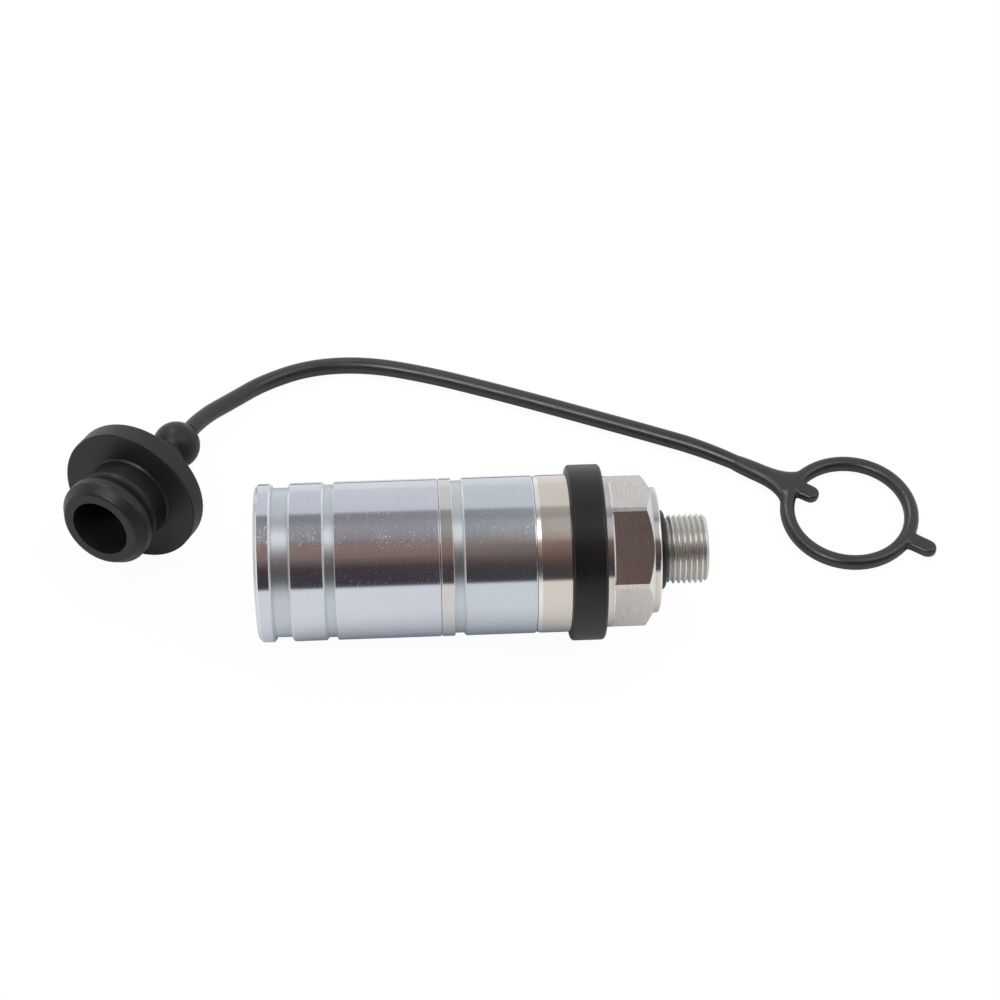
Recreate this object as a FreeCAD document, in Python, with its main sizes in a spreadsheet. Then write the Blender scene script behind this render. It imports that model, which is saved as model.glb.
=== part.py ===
import FreeCAD, Part
import math
import os

import Sketcher

# Female push-pull hydraulic quick coupler of size 12.5, lying on its side with its dust plug off.
# The axis runs along X, mouth towards -X and G 3/8 stud towards +X, and +Z is up.
# The origin is on the axis, in the plane of the shoulder that seats on the port.
# Stations below are measured from the mouth, and every body is then moved back by the port's station.

SIZES = {
    # overall
    "stud_length": 12.0,
    "running_clearance": 0.06,
    "thread_clearance": 0.05,
    "seat_gap": 0.1,
    "edge_bevel": 0.3,
    # how far the sleeve and the socket slide forward
    "sleeve_travel": 6.0,
    "socket_travel": 5.0,
    # outer sleeve, in two screwed pieces
    "sleeve_wall": 1.6,
    "mouth_bevel": 0.9,
    "mouth_lead": 1.5,
    "tether_groove_start": 4.0,
    "tether_groove_width": 4.0,
    "tether_groove_depth": 1.1,
    "tether_groove_bevel": 0.5,
    "clip_groove_start": 16.5,
    "clip_groove_width": 2.2,
    "clip_groove_depth": 0.7,
    "clip_inner_bevel": 0.2,
    "clip_outer_bevel": 0.5,
    "rear_groove_inset": 3.2,
    "rear_sleeve_length": 22.7,
    "spigot_wall": 1.4,
    "spigot_length": 6.0,
    "guide_land_length": 7.02,
    "spring_room_length": 12.0,
    "spring_seat_inset": 8.2,
    "spring_room_ramp": 1.5,
    "release_depth": 1.3,
    "release_margin": 0.3,
    "lock_land_length": 3.2,
    # ball socket that takes the male tip
    "socket_front": 6.0,
    "ball_show": 1.26,
    "socket_bevel": 0.6,
    "collar_end": 40.0,
    "tip_bore_radius": 10.3,
    "tip_groove_land": 2.0,
    "tip_lead": 0.9,
    "tip_groove_offset": 10.4,
    "tip_groove_width": 3.6,
    "tip_groove_depth": 2.0,
    "ball_station": 13.0,
    "ball_radius": 2.38,
    "ball_count": 8,
    "ball_hole_clearance": 0.05,
    "ball_land_clearance": 0.1,
    "ball_relief_depth": 0.2,
    "ball_relief_margin": 0.22,
    "valve_seat_height": 1.9,
    "throat_length": 1.0,
    "valve_seat_length": 2.6,
    "valve_bore_step": 0.8,
    "tail_wall": 2.35,
    "tail_groove_start": 46.8,
    "tail_groove_width": 3.6,
    "tail_groove_depth": 1.4,
    "guide_station": 52.0,
    "guide_length": 4.0,
    "guide_seat_step": 0.5,
    "rear_tail_inset": 0.5,
    "rear_tail_step": 0.75,
    "tail_room": 2.0,
    # retaining rings and spring washers
    "clip_thickness": 1.1,
    "clip_side_gap": 0.05,
    "clip_gap": 3.0,
    "washer_thickness": 1.1,
    "inner_clip_depth": 0.6,
    "inner_clip_height": 2.0,
    "sleeve_clip_depth": 0.9,
    "sleeve_clip_height": 1.9,
    "sleeve_clip_land": 1.2,
    "tail_clip_inset": 3.0,
    "tail_clip_depth": 0.7,
    "tail_clip_height": 1.9,
    # poppet valve
    "poppet_nose_step": 2.6,
    "poppet_nose_length": 2.7,
    "poppet_front_step": 0.6,
    "poppet_head_gap": 0.6,
    "poppet_seat_gap": 0.1,
    "poppet_rim_length": 2.1,
    "poppet_back_length": 2.52,
    "poppet_back_step": 2.1,
    "poppet_stem_radius": 3.0,
    "poppet_stem_reach": 4.0,
    "poppet_seal_step": 0.1,
    "poppet_seal_length": 1.5,
    "guide_rim_width": 1.4,
    "guide_hub_margin": 0.3,
    "guide_opening_count": 3,
    "guide_opening_half_angle": 45.0,
    # springs
    "wire_sides": 8,
    "poppet_spring_radius": 5.6,
    "poppet_wire": 1.2,
    "poppet_spring_turns": 4.5,
    "sleeve_spring_gap": 0.15,
    "sleeve_wire": 1.5,
    "sleeve_spring_turns": 3.5,
    "socket_spring_gap": 0.5,
    "socket_wire": 1.6,
    "socket_spring_turns": 4.5,
    # seals
    "backup_width": 1.2,
    "tip_seal_section": 2.2,
    "tail_seal_section": 1.36,
    "adapter_seal_section": 1.24,
    "port_seal_section": 2.0,
    # body tube and port adapter
    "tube_wall": 1.79,
    "joint_bevel": 1.0,
    "joint_bevel_height": 0.3,
    "tube_show_length": 8.0,
    "band_seat_width": 8.4,
    "band_seat_depth": 0.8,
    "chamber_inset": 1.3,
    "chamber_floor": 4.7,
    "chamber_cone_length": 4.0,
    "adapter_wall": 2.2,
    "adapter_thread_length": 9.4,
    "adapter_groove_offset": 1.0,
    "adapter_groove_width": 2.0,
    "adapter_groove_depth": 1.2,
    "hex_wall": 1.8,
    "hex_turn": 4.0,
    "hex_corner_height": 2.15,
    "collar_length": 1.85,
    "hex_edge_bevel": 0.35,
    "hex_bevel_length": 1.65,
    "hex_length": 9.55,
    "hex_bevel_inset": 0.35,
    "shoulder_inset": 0.9,
    "shoulder_length": 1.7,
    "shoulder_round": 0.5,
    "port_seal_room": 0.15,
    "port_recess_depth": 0.1,
    "undercut_depth": 0.681,
    "undercut_length": 2.6,
    "thread_radius": 8.331,
    "thread_bevel": 0.9,
    "stud_bore_radius": 5.0,
    # rubber band between the sleeve and the hexagon
    "band_thickness": 2.95,
    "band_gap": 0.1,
    "band_round": 0.9,
    # dust plug, measured along its own axis from the front of its flange
    "flange_radius": 17.8,
    "flange_thickness": 5.2,
    "flange_round": 0.4,
    "nose_neck_radius": 9.6,
    "nose_foot_radius": 10.6,
    "nose_foot_height": 0.5,
    "nose_swell_start": 5.5,
    "nose_lip_station": 10.6,
    "nose_lip_radius": 11.7,
    "nose_length": 14.2,
    "nose_face_radius": 9.9,
    "nose_round": 1.1,
    "nose_hole_radius": 7.4,
    "nose_hole_depth": 13.0,
    "neck_base_radius": 7.6,
    "neck_end_radius": 4.2,
    "knob_station": 23.5,
    "knob_radius": 6.0,
    "knob_boss_radius": 2.6,
    "knob_boss_length": 6.6,
    "plug_azimuth": 243.3,
    "plug_tilt": 13.9,
    "plug_x": -127.7,
    "plug_y": 23.7,
    # tether and the ring at its far end
    "tether_radius": 2.05,
    "loop_radius": 15.8,
    "loop_section_radius": 1.75,
    "loop_x": 52.95,
    "loop_y": 23.9,
    "loop_neck_angle": 148.0,
    "loop_neck_reach": 33.0,
    "loop_neck_middle": 26.0,
    "loop_neck_half_width": 2.35,
    "loop_flare_rise": 3.0,
    "loop_flare_middle_half_width": 3.9,
    "loop_flare_half_width": 6.5,
    "loop_flare_half_height": 1.4,
    "loop_tab_angle": 146.0,
    "loop_tab_width": 4.0,
    "loop_tab_thickness": 2.4,
    "loop_tab_inner_reach": 9.0,
    "loop_tab_outer_reach": 24.0,
}

# The route of the tether from the knob's boss to the neck of its ring, chosen by hand from the photograph.
TETHER_ROUTE = [
    (-104.15, 64.05, -15.2),
    (-96.4, 72.05, -17.8),
    (-84.1, 77.8, -18.95),
    (-69.2, 78.3, -19.1),
    (-52.9, 74.0, -19.1),
    (-36.2, 67.8, -19.1),
    (-21.5, 62.0, -19.1),
    (-8.0, 56.5, -19.1),
    (4.5, 51.4, -19.1),
]
FIRST_RUN = 6.5
LAST_RUN = 8.0
ARC_SHARE = 0.45

doc = FreeCAD.newDocument("quick_coupler")


class Size:
    """A length and the expression over the sheet that gives it, so that both are written once."""

    def __init__(self, value, text):
        self.value = value
        self.text = text

    @staticmethod
    def of(other):
        if isinstance(other, Size):
            return other
        return Size(float(other), repr(float(other)))

    def join(self, other, sign, value):
        return Size(value, "(%s %s %s)" % (self.text, sign, Size.of(other).text))

    def __add__(self, other):
        return self.join(other, "+", self.value + Size.of(other).value)

    def __sub__(self, other):
        return self.join(other, "-", self.value - Size.of(other).value)

    def __mul__(self, other):
        return self.join(other, "*", self.value * Size.of(other).value)

    def __truediv__(self, other):
        return self.join(other, "/", self.value / Size.of(other).value)

    def root(self):
        return Size(math.sqrt(self.value), "sqrt(%s)" % self.text)

    def __neg__(self):
        return Size(-self.value, "(0 - %s)" % self.text)


class Sheet:
    """Each size in the sheet, by name."""


def fill_sheet():
    """Write the sizes into the document's sheet and return them as Size objects."""
    cells = doc.addObject("Spreadsheet::Sheet", "Sizes")
    named = Sheet()
    for row, (alias, value) in enumerate(SIZES.items(), start=1):
        cells.set("A%d" % row, alias)
        cells.set("B%d" % row, str(value))
        cells.setAlias("B%d" % row, alias)
        setattr(named, alias, Size(value, "Sizes.%s" % alias))
    doc.recompute()
    return named


def add_radii(d):
    """Radii that follow from the named sizes, from the male tip's bore outwards."""
    d.valve_bore_radius = d.tip_bore_radius - d.valve_bore_step
    d.throat_radius = d.valve_bore_radius - d.valve_seat_height
    d.guide_radius = d.valve_bore_radius + d.guide_seat_step
    d.poppet_head_radius = d.valve_bore_radius - d.poppet_head_gap
    d.poppet_back_radius = d.poppet_head_radius - d.poppet_back_step
    d.poppet_front_radius = d.throat_radius - d.poppet_front_step
    d.poppet_nose_radius = d.throat_radius - d.poppet_nose_step
    d.poppet_seal_inner = d.throat_radius - d.poppet_seal_step
    d.guide_rim_radius = d.guide_radius - d.guide_rim_width
    d.guide_hub_radius = d.poppet_spring_radius + d.poppet_wire / 2 + d.guide_hub_margin
    ball_foot = d.tip_bore_radius - d.ball_show
    d.socket_radius = ball_foot + d.ball_radius * 2 + d.ball_land_clearance - d.running_clearance
    d.tail_radius = d.guide_radius + d.tail_wall
    d.rear_tail_radius = d.tail_radius - d.rear_tail_step
    d.socket_spring_radius = d.rear_tail_radius + d.socket_spring_gap + d.socket_wire / 2
    d.chamber_radius = d.rear_tail_radius + d.socket_spring_gap * 2 + d.socket_wire
    d.tube_radius = d.tail_radius + d.running_clearance + d.tube_wall
    d.sleeve_spring_radius = d.tube_radius + d.sleeve_spring_gap + d.sleeve_wire / 2
    d.spring_room_radius = d.tube_radius + d.sleeve_spring_gap * 2 + d.sleeve_wire
    d.release_radius = d.socket_radius + d.running_clearance + d.release_depth
    d.spigot_radius = d.spring_room_radius + d.spigot_wall
    d.sleeve_radius = d.spigot_radius + d.sleeve_wall
    d.band_seat_radius = d.sleeve_radius - d.band_seat_depth
    d.band_radius = d.band_seat_radius + d.band_thickness
    d.adapter_thread_radius = d.chamber_radius + d.adapter_wall
    half_flats = d.chamber_radius + d.hex_wall
    d.across_flats = half_flats * 2
    d.hex_blank_radius = half_flats + d.hex_corner_height
    d.hex_bevel_radius = half_flats - d.hex_bevel_inset
    d.shoulder_radius = half_flats - d.shoulder_inset
    d.undercut_radius = d.thread_radius - d.undercut_depth
    d.port_recess_radius = d.undercut_radius + d.port_seal_section + d.port_seal_room


def add_stations(d):
    """Stations that follow from the named lengths, from the mouth to the end of the stud."""
    d.tip_groove_start = d.ball_station + d.tip_groove_offset
    d.tip_bore_end = d.tip_groove_start + d.tip_groove_width + d.tip_groove_land
    d.poppet_stem_end = d.guide_station + d.guide_length + d.poppet_stem_reach
    d.rear_release = d.ball_station + d.sleeve_travel + d.ball_radius + d.release_margin
    d.guide_land_start = d.rear_release + d.release_depth
    d.guide_land_end = d.guide_land_start + d.guide_land_length
    d.spring_room_start = d.guide_land_end + d.spring_room_ramp
    d.front_sleeve_length = d.spring_room_start + d.spring_room_length
    d.sleeve_length = d.front_sleeve_length + d.rear_sleeve_length
    d.spring_seat_station = d.sleeve_length - d.spring_seat_inset
    d.chamber_start = d.sleeve_length + d.chamber_inset
    d.rear_tail_start = d.chamber_start - d.rear_tail_inset
    d.band_seat_start = d.sleeve_length + d.tube_show_length
    d.body_tube_end = d.band_seat_start + d.band_seat_width / 2
    d.hex_start = d.band_seat_start + d.band_seat_width + d.collar_length
    d.hex_bevel_end = d.hex_start + d.hex_length
    d.hex_bevel_start = d.hex_bevel_end - d.hex_bevel_length
    d.port_station = d.hex_bevel_end + d.shoulder_length
    d.total_length = d.port_station + d.stud_length
    d.chamber_end = d.port_station - d.chamber_floor
    d.tail_end = d.chamber_end - d.tail_room
    d.tail_clip_station = d.tail_end - d.tail_clip_inset


d = fill_sheet()
add_radii(d)
add_stations(d)

PORT_STATION = d.port_station
SUBPARTS = {}


def bind(item, prop, size):
    """Drive one property of an object by a size's expression."""
    item.setExpression(prop, Size.of(size).text)


def origin_plane(body, role):
    for feature in body.Origin.OriginFeatures:
        if feature.Role == role:
            return feature
    raise ValueError("no origin feature %s" % role)


def new_body(name):
    """A body on the coupler's axis, shifted so that its stations count from the mouth."""
    body = doc.addObject("PartDesign::Body", name)
    body.Label = name
    bind(body, "Placement.Base.x", -PORT_STATION)
    SUBPARTS[name] = body
    return body


def new_sketch(body, role, label):
    sketch = body.newObject("Sketcher::SketchObject", "%s_%s" % (body.Name, label))
    sketch.AttachmentSupport = [(origin_plane(body, role), "")]
    sketch.MapMode = "FlatFace"
    return sketch


def fix_point(sketch, line, end, place):
    """Hold one end of a line at a place given as two sizes from the sketch's origin."""
    for kind, axis, size in (("DistanceX", -2, place[0]), ("DistanceY", -1, place[1])):
        size = Size.of(size)
        if abs(size.value) < 1e-9:
            sketch.addConstraint(Sketcher.Constraint("PointOnObject", line, end, axis))
        else:
            number = sketch.addConstraint(Sketcher.Constraint(kind, -1, 1, line, end, size.value))
            bind(sketch, "Constraints[%d]" % number, size)


def closed_outline(sketch, points):
    """A closed chain of lines through points given as pairs of sizes."""
    places = [FreeCAD.Vector(Size.of(x).value, Size.of(y).value, 0) for x, y in points]
    first = len(sketch.Geometry)
    count = len(places)
    for start, end in zip(places, places[1:] + places[:1]):
        sketch.addGeometry(Part.LineSegment(start, end), False)
    for i in range(count):
        sketch.addConstraint(Sketcher.Constraint("Coincident", first + i, 2, first + (i + 1) % count, 1))
    for i, place in enumerate(points):
        fix_point(sketch, first + i, 1, place)


def circle_at(sketch, place, radius):
    """A circle whose centre and radius follow the sheet."""
    centre = FreeCAD.Vector(Size.of(place[0]).value, Size.of(place[1]).value, 0)
    number = sketch.addGeometry(Part.Circle(centre, FreeCAD.Vector(0, 0, 1), Size.of(radius).value), False)
    held = sketch.addConstraint(Sketcher.Constraint("Radius", number, Size.of(radius).value))
    bind(sketch, "Constraints[%d]" % held, radius)
    fix_point(sketch, number, 3, place)


def turned(name, outline):
    """A piece turned on the X axis from its half outline of (station, radius) pairs."""
    body = new_body(name)
    sketch = new_sketch(body, "XY_Plane", "outline")
    closed_outline(sketch, outline)
    turn = body.newObject("PartDesign::Revolution", name + "_turn")
    turn.Profile = sketch
    turn.ReferenceAxis = (sketch, ["H_Axis"])
    turn.Angle = 360.0
    sketch.Visibility = False
    doc.recompute()
    return body


def dress_edges(body, kind, circles, size, label):
    """Round or bevel the circular edges at the (station, radius) pairs given."""
    base = body.Tip
    names = []
    for number, edge in enumerate(base.Shape.Edges, start=1):
        if not isinstance(edge.Curve, Part.Circle):
            continue
        for station, edge_radius in circles:
            near_station = abs(edge.Curve.Center.x - Size.of(station).value) < 1e-4
            near_radius = abs(edge.Curve.Radius - Size.of(edge_radius).value) < 1e-4
            if near_station and near_radius:
                names.append("Edge%d" % number)
    dressed = body.newObject("PartDesign::" + kind, "%s_%s" % (body.Name, label))
    dressed.Base = (base, names)
    bind(dressed, {"Fillet": "Radius", "Chamfer": "Size"}[kind], size)
    doc.recompute()


def cut_check(body, before):
    """A cut that points away from the solid removes nothing, so the volume is compared."""
    if not body.Shape.Volume < before - 1e-6:
        raise ValueError("%s: a cut removed nothing" % body.Name)


def pocket(body, sketch, length, label, reverse=False, midplane=False):
    before = body.Shape.Volume
    cut = body.newObject("PartDesign::Pocket", "%s_%s" % (body.Name, label))
    cut.Profile = sketch
    bind(cut, "Length", length)
    cut.Reversed = reverse
    if midplane:
        cut.SideType = "Symmetric"
    doc.recompute()
    cut_check(body, before)
    return cut


def repeat_round(body, feature, count, label):
    """Copies of one feature, evenly spaced round the X axis."""
    pattern = body.newObject("PartDesign::PolarPattern", "%s_%s" % (body.Name, label))
    pattern.Originals = [feature]
    pattern.Axis = (origin_plane(body, "X_Axis"), [""])
    pattern.Angle = 360.0
    bind(pattern, "Occurrences", count)
    body.Tip = pattern
    doc.recompute()
    return pattern


def clip_ring(name, start, inner, outer):
    """A retaining ring: flat, with the gap that lets it spring into its groove."""
    end = start + d.clip_thickness
    body = turned(name, [(start, inner), (end, inner), (end, outer), (start, outer)])
    sketch = new_sketch(body, "XZ_Plane", "gap")
    half = d.clip_gap / 2
    closed_outline(
        sketch,
        [
            (start - half, inner - half),
            (end + half, inner - half),
            (end + half, outer + half),
            (start - half, outer + half),
        ],
    )
    pocket(body, sketch, d.clip_gap, "gap_cut", midplane=True)
    return body


def flat_ring(name, start, thickness, inner, outer):
    """A plain washer or backup ring."""
    end = start + thickness
    return turned(name, [(start, inner), (end, inner), (end, outer), (start, outer)])


def o_ring(name, station, radius, section):
    """An O-ring whose section's centre is at a station and a radius."""
    torus = doc.addObject("Part::Torus", name)
    torus.Label = name
    bind(torus, "Radius1", radius)
    bind(torus, "Radius2", section / 2)
    torus.Placement.Rotation = FreeCAD.Rotation(FreeCAD.Vector(0, 1, 0), 90)
    bind(torus, "Placement.Base.x", station - PORT_STATION)
    SUBPARTS[name] = torus
    return torus


def coil_spring(name, start, end, radius, wire, turns):
    """A compression spring whose end coils are ground flat; many-sided wire keeps its facets few."""
    length = end - start
    pitch = length / turns
    helix = doc.addObject("Part::Helix", name + "_helix")
    bind(helix, "Pitch", pitch)
    bind(helix, "Height", length)
    bind(helix, "Radius", radius)
    section = doc.addObject("Part::RegularPolygon", name + "_section")
    bind(section, "Polygon", d.wire_sides)
    bind(section, "Circumradius", wire / 2)
    bind(section, "Placement.Base.x", radius)
    section.Placement.Rotation = FreeCAD.Rotation(FreeCAD.Vector(1, 0, 0), 90)
    sweep = doc.addObject("Part::Sweep", name + "_sweep")
    sweep.Sections = [section]
    sweep.Spine = (helix, ["Edge1"])
    sweep.Solid = True
    sweep.Frenet = True
    room = doc.addObject("Part::Cylinder", name + "_room")
    bind(room, "Radius", radius + wire)
    bind(room, "Height", length)
    ground = doc.addObject("Part::Common", name)
    ground.Label = name
    ground.Base = sweep
    ground.Tool = room
    ground.Placement.Rotation = FreeCAD.Rotation(FreeCAD.Vector(0, 1, 0), 90)
    bind(ground, "Placement.Base.x", start - PORT_STATION)
    doc.recompute()
    SUBPARTS[name] = ground
    return ground


def guide_bore():
    """Radius of every bore that the ball socket slides in."""
    return d.socket_radius + d.running_clearance


def make_front_sleeve():
    """Front half of the outer sleeve: tether groove, clip groove, and the ball lock's land inside."""
    land = guide_bore()
    ramp = d.release_radius - land
    half_land = d.lock_land_length / 2
    reach = d.ball_radius + d.release_margin
    lock_front = d.ball_station - half_land
    lock_rear = d.ball_station + half_land
    front_release = d.ball_station - d.socket_travel - reach
    groove = d.tether_groove_start
    groove_end = groove + d.tether_groove_width
    groove_floor = d.sleeve_radius - d.tether_groove_depth
    bevel = d.tether_groove_bevel
    clip_end = d.clip_groove_start + d.clip_groove_width
    clip_floor = d.sleeve_radius - d.clip_groove_depth
    spigot_room = d.spigot_radius + d.thread_clearance
    spigot_end = d.front_sleeve_length - d.spigot_length - d.seat_gap
    return turned(
        "front_sleeve",
        [
            (Size.of(0), land + d.mouth_lead),
            (Size.of(0), d.sleeve_radius - d.mouth_bevel),
            (d.mouth_bevel, d.sleeve_radius),
            (groove - bevel, d.sleeve_radius),
            (groove, d.sleeve_radius - bevel),
            (groove, groove_floor),
            (groove_end, groove_floor),
            (groove_end, d.sleeve_radius - bevel),
            (groove_end + bevel, d.sleeve_radius),
            (d.clip_groove_start - d.clip_outer_bevel, d.sleeve_radius),
            (d.clip_groove_start, d.sleeve_radius - d.clip_outer_bevel),
            (d.clip_groove_start, clip_floor),
            (clip_end, clip_floor),
            (clip_end, d.sleeve_radius - d.clip_inner_bevel),
            (clip_end + d.clip_inner_bevel, d.sleeve_radius),
            (d.front_sleeve_length - d.edge_bevel, d.sleeve_radius),
            (d.front_sleeve_length, d.sleeve_radius - d.edge_bevel),
            (d.front_sleeve_length, spigot_room),
            (spigot_end, spigot_room),
            (spigot_end, d.spring_room_radius),
            (d.spring_room_start, d.spring_room_radius),
            (d.guide_land_end, land),
            (d.guide_land_start, land),
            (d.rear_release, d.release_radius),
            (lock_rear + ramp, d.release_radius),
            (lock_rear, land),
            (lock_front, land),
            (lock_front - ramp, d.release_radius),
            (front_release, d.release_radius),
            (front_release - ramp, land),
            (d.mouth_lead, land),
        ],
    )


def make_rear_sleeve():
    """Rear half of the outer sleeve, screwed into the front one, with the second clip groove."""
    groove = d.front_sleeve_length + d.rear_groove_inset
    groove_end = groove + d.clip_groove_width
    groove_floor = d.sleeve_radius - d.clip_groove_depth
    end = d.sleeve_length - d.seat_gap
    bore = d.tube_radius + d.running_clearance
    front = d.front_sleeve_length
    return turned(
        "rear_sleeve",
        [
            (front - d.spigot_length, d.spring_room_radius),
            (front - d.spigot_length, d.spigot_radius - d.edge_bevel),
            (front - d.spigot_length + d.edge_bevel, d.spigot_radius),
            (front, d.spigot_radius),
            (front, d.sleeve_radius - d.edge_bevel),
            (front + d.edge_bevel, d.sleeve_radius),
            (groove - d.clip_inner_bevel, d.sleeve_radius),
            (groove, d.sleeve_radius - d.clip_inner_bevel),
            (groove, groove_floor),
            (groove_end, groove_floor),
            (groove_end, d.sleeve_radius - d.clip_outer_bevel),
            (groove_end + d.clip_outer_bevel, d.sleeve_radius),
            (end - d.edge_bevel, d.sleeve_radius),
            (end, d.sleeve_radius - d.edge_bevel),
            (end, bore + d.edge_bevel),
            (end - d.edge_bevel, bore),
            (d.spring_seat_station, bore),
            (d.spring_seat_station, d.spring_room_radius),
        ],
    )


def make_body_tube():
    """The fixed tube that the sleeve slides on, with the front half of the rubber band's seat."""
    front = d.collar_end + d.seat_gap
    bore = d.tail_radius + d.running_clearance
    groove = front + d.sleeve_clip_land
    groove_end = groove + d.clip_thickness + d.clip_side_gap * 2
    groove_floor = d.tube_radius - d.sleeve_clip_depth
    thread_room = d.adapter_thread_radius + d.thread_clearance
    thread_start = d.body_tube_end - d.adapter_thread_length - d.seat_gap
    return turned(
        "body_tube",
        [
            (front, bore + d.edge_bevel),
            (front, d.tube_radius - d.edge_bevel),
            (front + d.edge_bevel, d.tube_radius),
            (groove, d.tube_radius),
            (groove, groove_floor),
            (groove_end, groove_floor),
            (groove_end, d.tube_radius),
            (d.sleeve_length, d.tube_radius),
            (d.sleeve_length, d.sleeve_radius - d.joint_bevel_height),
            (d.sleeve_length + d.joint_bevel, d.sleeve_radius),
            (d.band_seat_start, d.sleeve_radius),
            (d.band_seat_start, d.band_seat_radius),
            (d.body_tube_end, d.band_seat_radius),
            (d.body_tube_end, thread_room),
            (thread_start, thread_room),
            (thread_start, d.chamber_radius),
            (d.chamber_start, d.chamber_radius),
            (d.chamber_start, bore),
            (front + d.edge_bevel, bore),
        ],
    )


def make_port_adapter():
    """Hexagon, shoulder and G 3/8 stud, turned from one round blank, with six flats milled on it."""
    spigot = d.body_tube_end - d.adapter_thread_length
    groove = spigot + d.adapter_groove_offset
    groove_end = groove + d.adapter_groove_width
    groove_floor = d.adapter_thread_radius - d.adapter_groove_depth
    band_end = d.band_seat_start + d.band_seat_width
    recess = PORT_STATION - d.port_recess_depth
    undercut_end = PORT_STATION + d.undercut_length
    thread_rise = d.thread_radius - d.undercut_radius
    body = turned(
        "port_adapter",
        [
            (spigot, d.chamber_radius),
            (spigot, d.adapter_thread_radius - d.edge_bevel),
            (spigot + d.edge_bevel, d.adapter_thread_radius),
            (groove, d.adapter_thread_radius),
            (groove, groove_floor),
            (groove_end, groove_floor),
            (groove_end, d.adapter_thread_radius),
            (d.body_tube_end, d.adapter_thread_radius),
            (d.body_tube_end, d.band_seat_radius),
            (band_end, d.band_seat_radius),
            (band_end, d.hex_blank_radius),
            (d.hex_bevel_start, d.hex_blank_radius),
            (d.hex_bevel_end, d.hex_bevel_radius),
            (d.hex_bevel_end, d.shoulder_radius),
            (PORT_STATION, d.shoulder_radius),
            (PORT_STATION, d.port_recess_radius),
            (recess, d.port_recess_radius),
            (recess, d.undercut_radius),
            (undercut_end, d.undercut_radius),
            (undercut_end + thread_rise, d.thread_radius),
            (d.total_length - d.thread_bevel, d.thread_radius),
            (d.total_length, d.thread_radius - d.thread_bevel),
            (d.total_length, d.stud_bore_radius),
            (d.chamber_end + d.chamber_cone_length, d.stud_bore_radius),
            (d.chamber_end, d.chamber_radius),
        ],
    )
    dress_edges(body, "Fillet", [(PORT_STATION, d.shoulder_radius)], d.shoulder_round, "shoulder_round")
    flats = new_sketch(body, "YZ_Plane", "flats")
    bind(flats, "AttachmentOffset.Base.z", d.hex_start)
    hexagon(flats, d.across_flats)
    circle_at(flats, (0, 0), d.hex_blank_radius + d.shoulder_round)
    bind(flats, "AttachmentOffset.Rotation.Angle", d.hex_turn)
    pocket(body, flats, d.hex_bevel_end - d.hex_start, "flats_cut", reverse=True)
    dress_edges(body, "Chamfer", [(d.hex_start, d.hex_blank_radius)], d.hex_edge_bevel, "flats_bevel")
    return body


def hexagon(sketch, across_flats):
    """A regular hexagon on a construction circle, with two flats upright in the sketch."""
    radius = across_flats.value / math.sqrt(3)
    corners = []
    for k in range(6):
        angle = math.radians(30 + 60 * k)
        corners.append(FreeCAD.Vector(radius * math.cos(angle), radius * math.sin(angle), 0))
    lines = []
    for start, end in zip(corners, corners[1:] + corners[:1]):
        lines.append(sketch.addGeometry(Part.LineSegment(start, end), False))
    rim = sketch.addGeometry(Part.Circle(FreeCAD.Vector(), FreeCAD.Vector(0, 0, 1), radius), True)
    sketch.addConstraint(Sketcher.Constraint("Coincident", rim, 3, -1, 1))
    for line, following in zip(lines, lines[1:] + lines[:1]):
        sketch.addConstraint(Sketcher.Constraint("Coincident", line, 2, following, 1))
        sketch.addConstraint(Sketcher.Constraint("PointOnObject", line, 2, rim))
    for line in lines[1:]:
        sketch.addConstraint(Sketcher.Constraint("Equal", lines[0], line))
    sketch.addConstraint(Sketcher.Constraint("Vertical", lines[2]))
    held = sketch.addConstraint(Sketcher.Constraint("Radius", rim, radius))
    sketch.setExpression("Constraints[%d]" % held, "%s / sqrt(3)" % across_flats.text)


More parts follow.
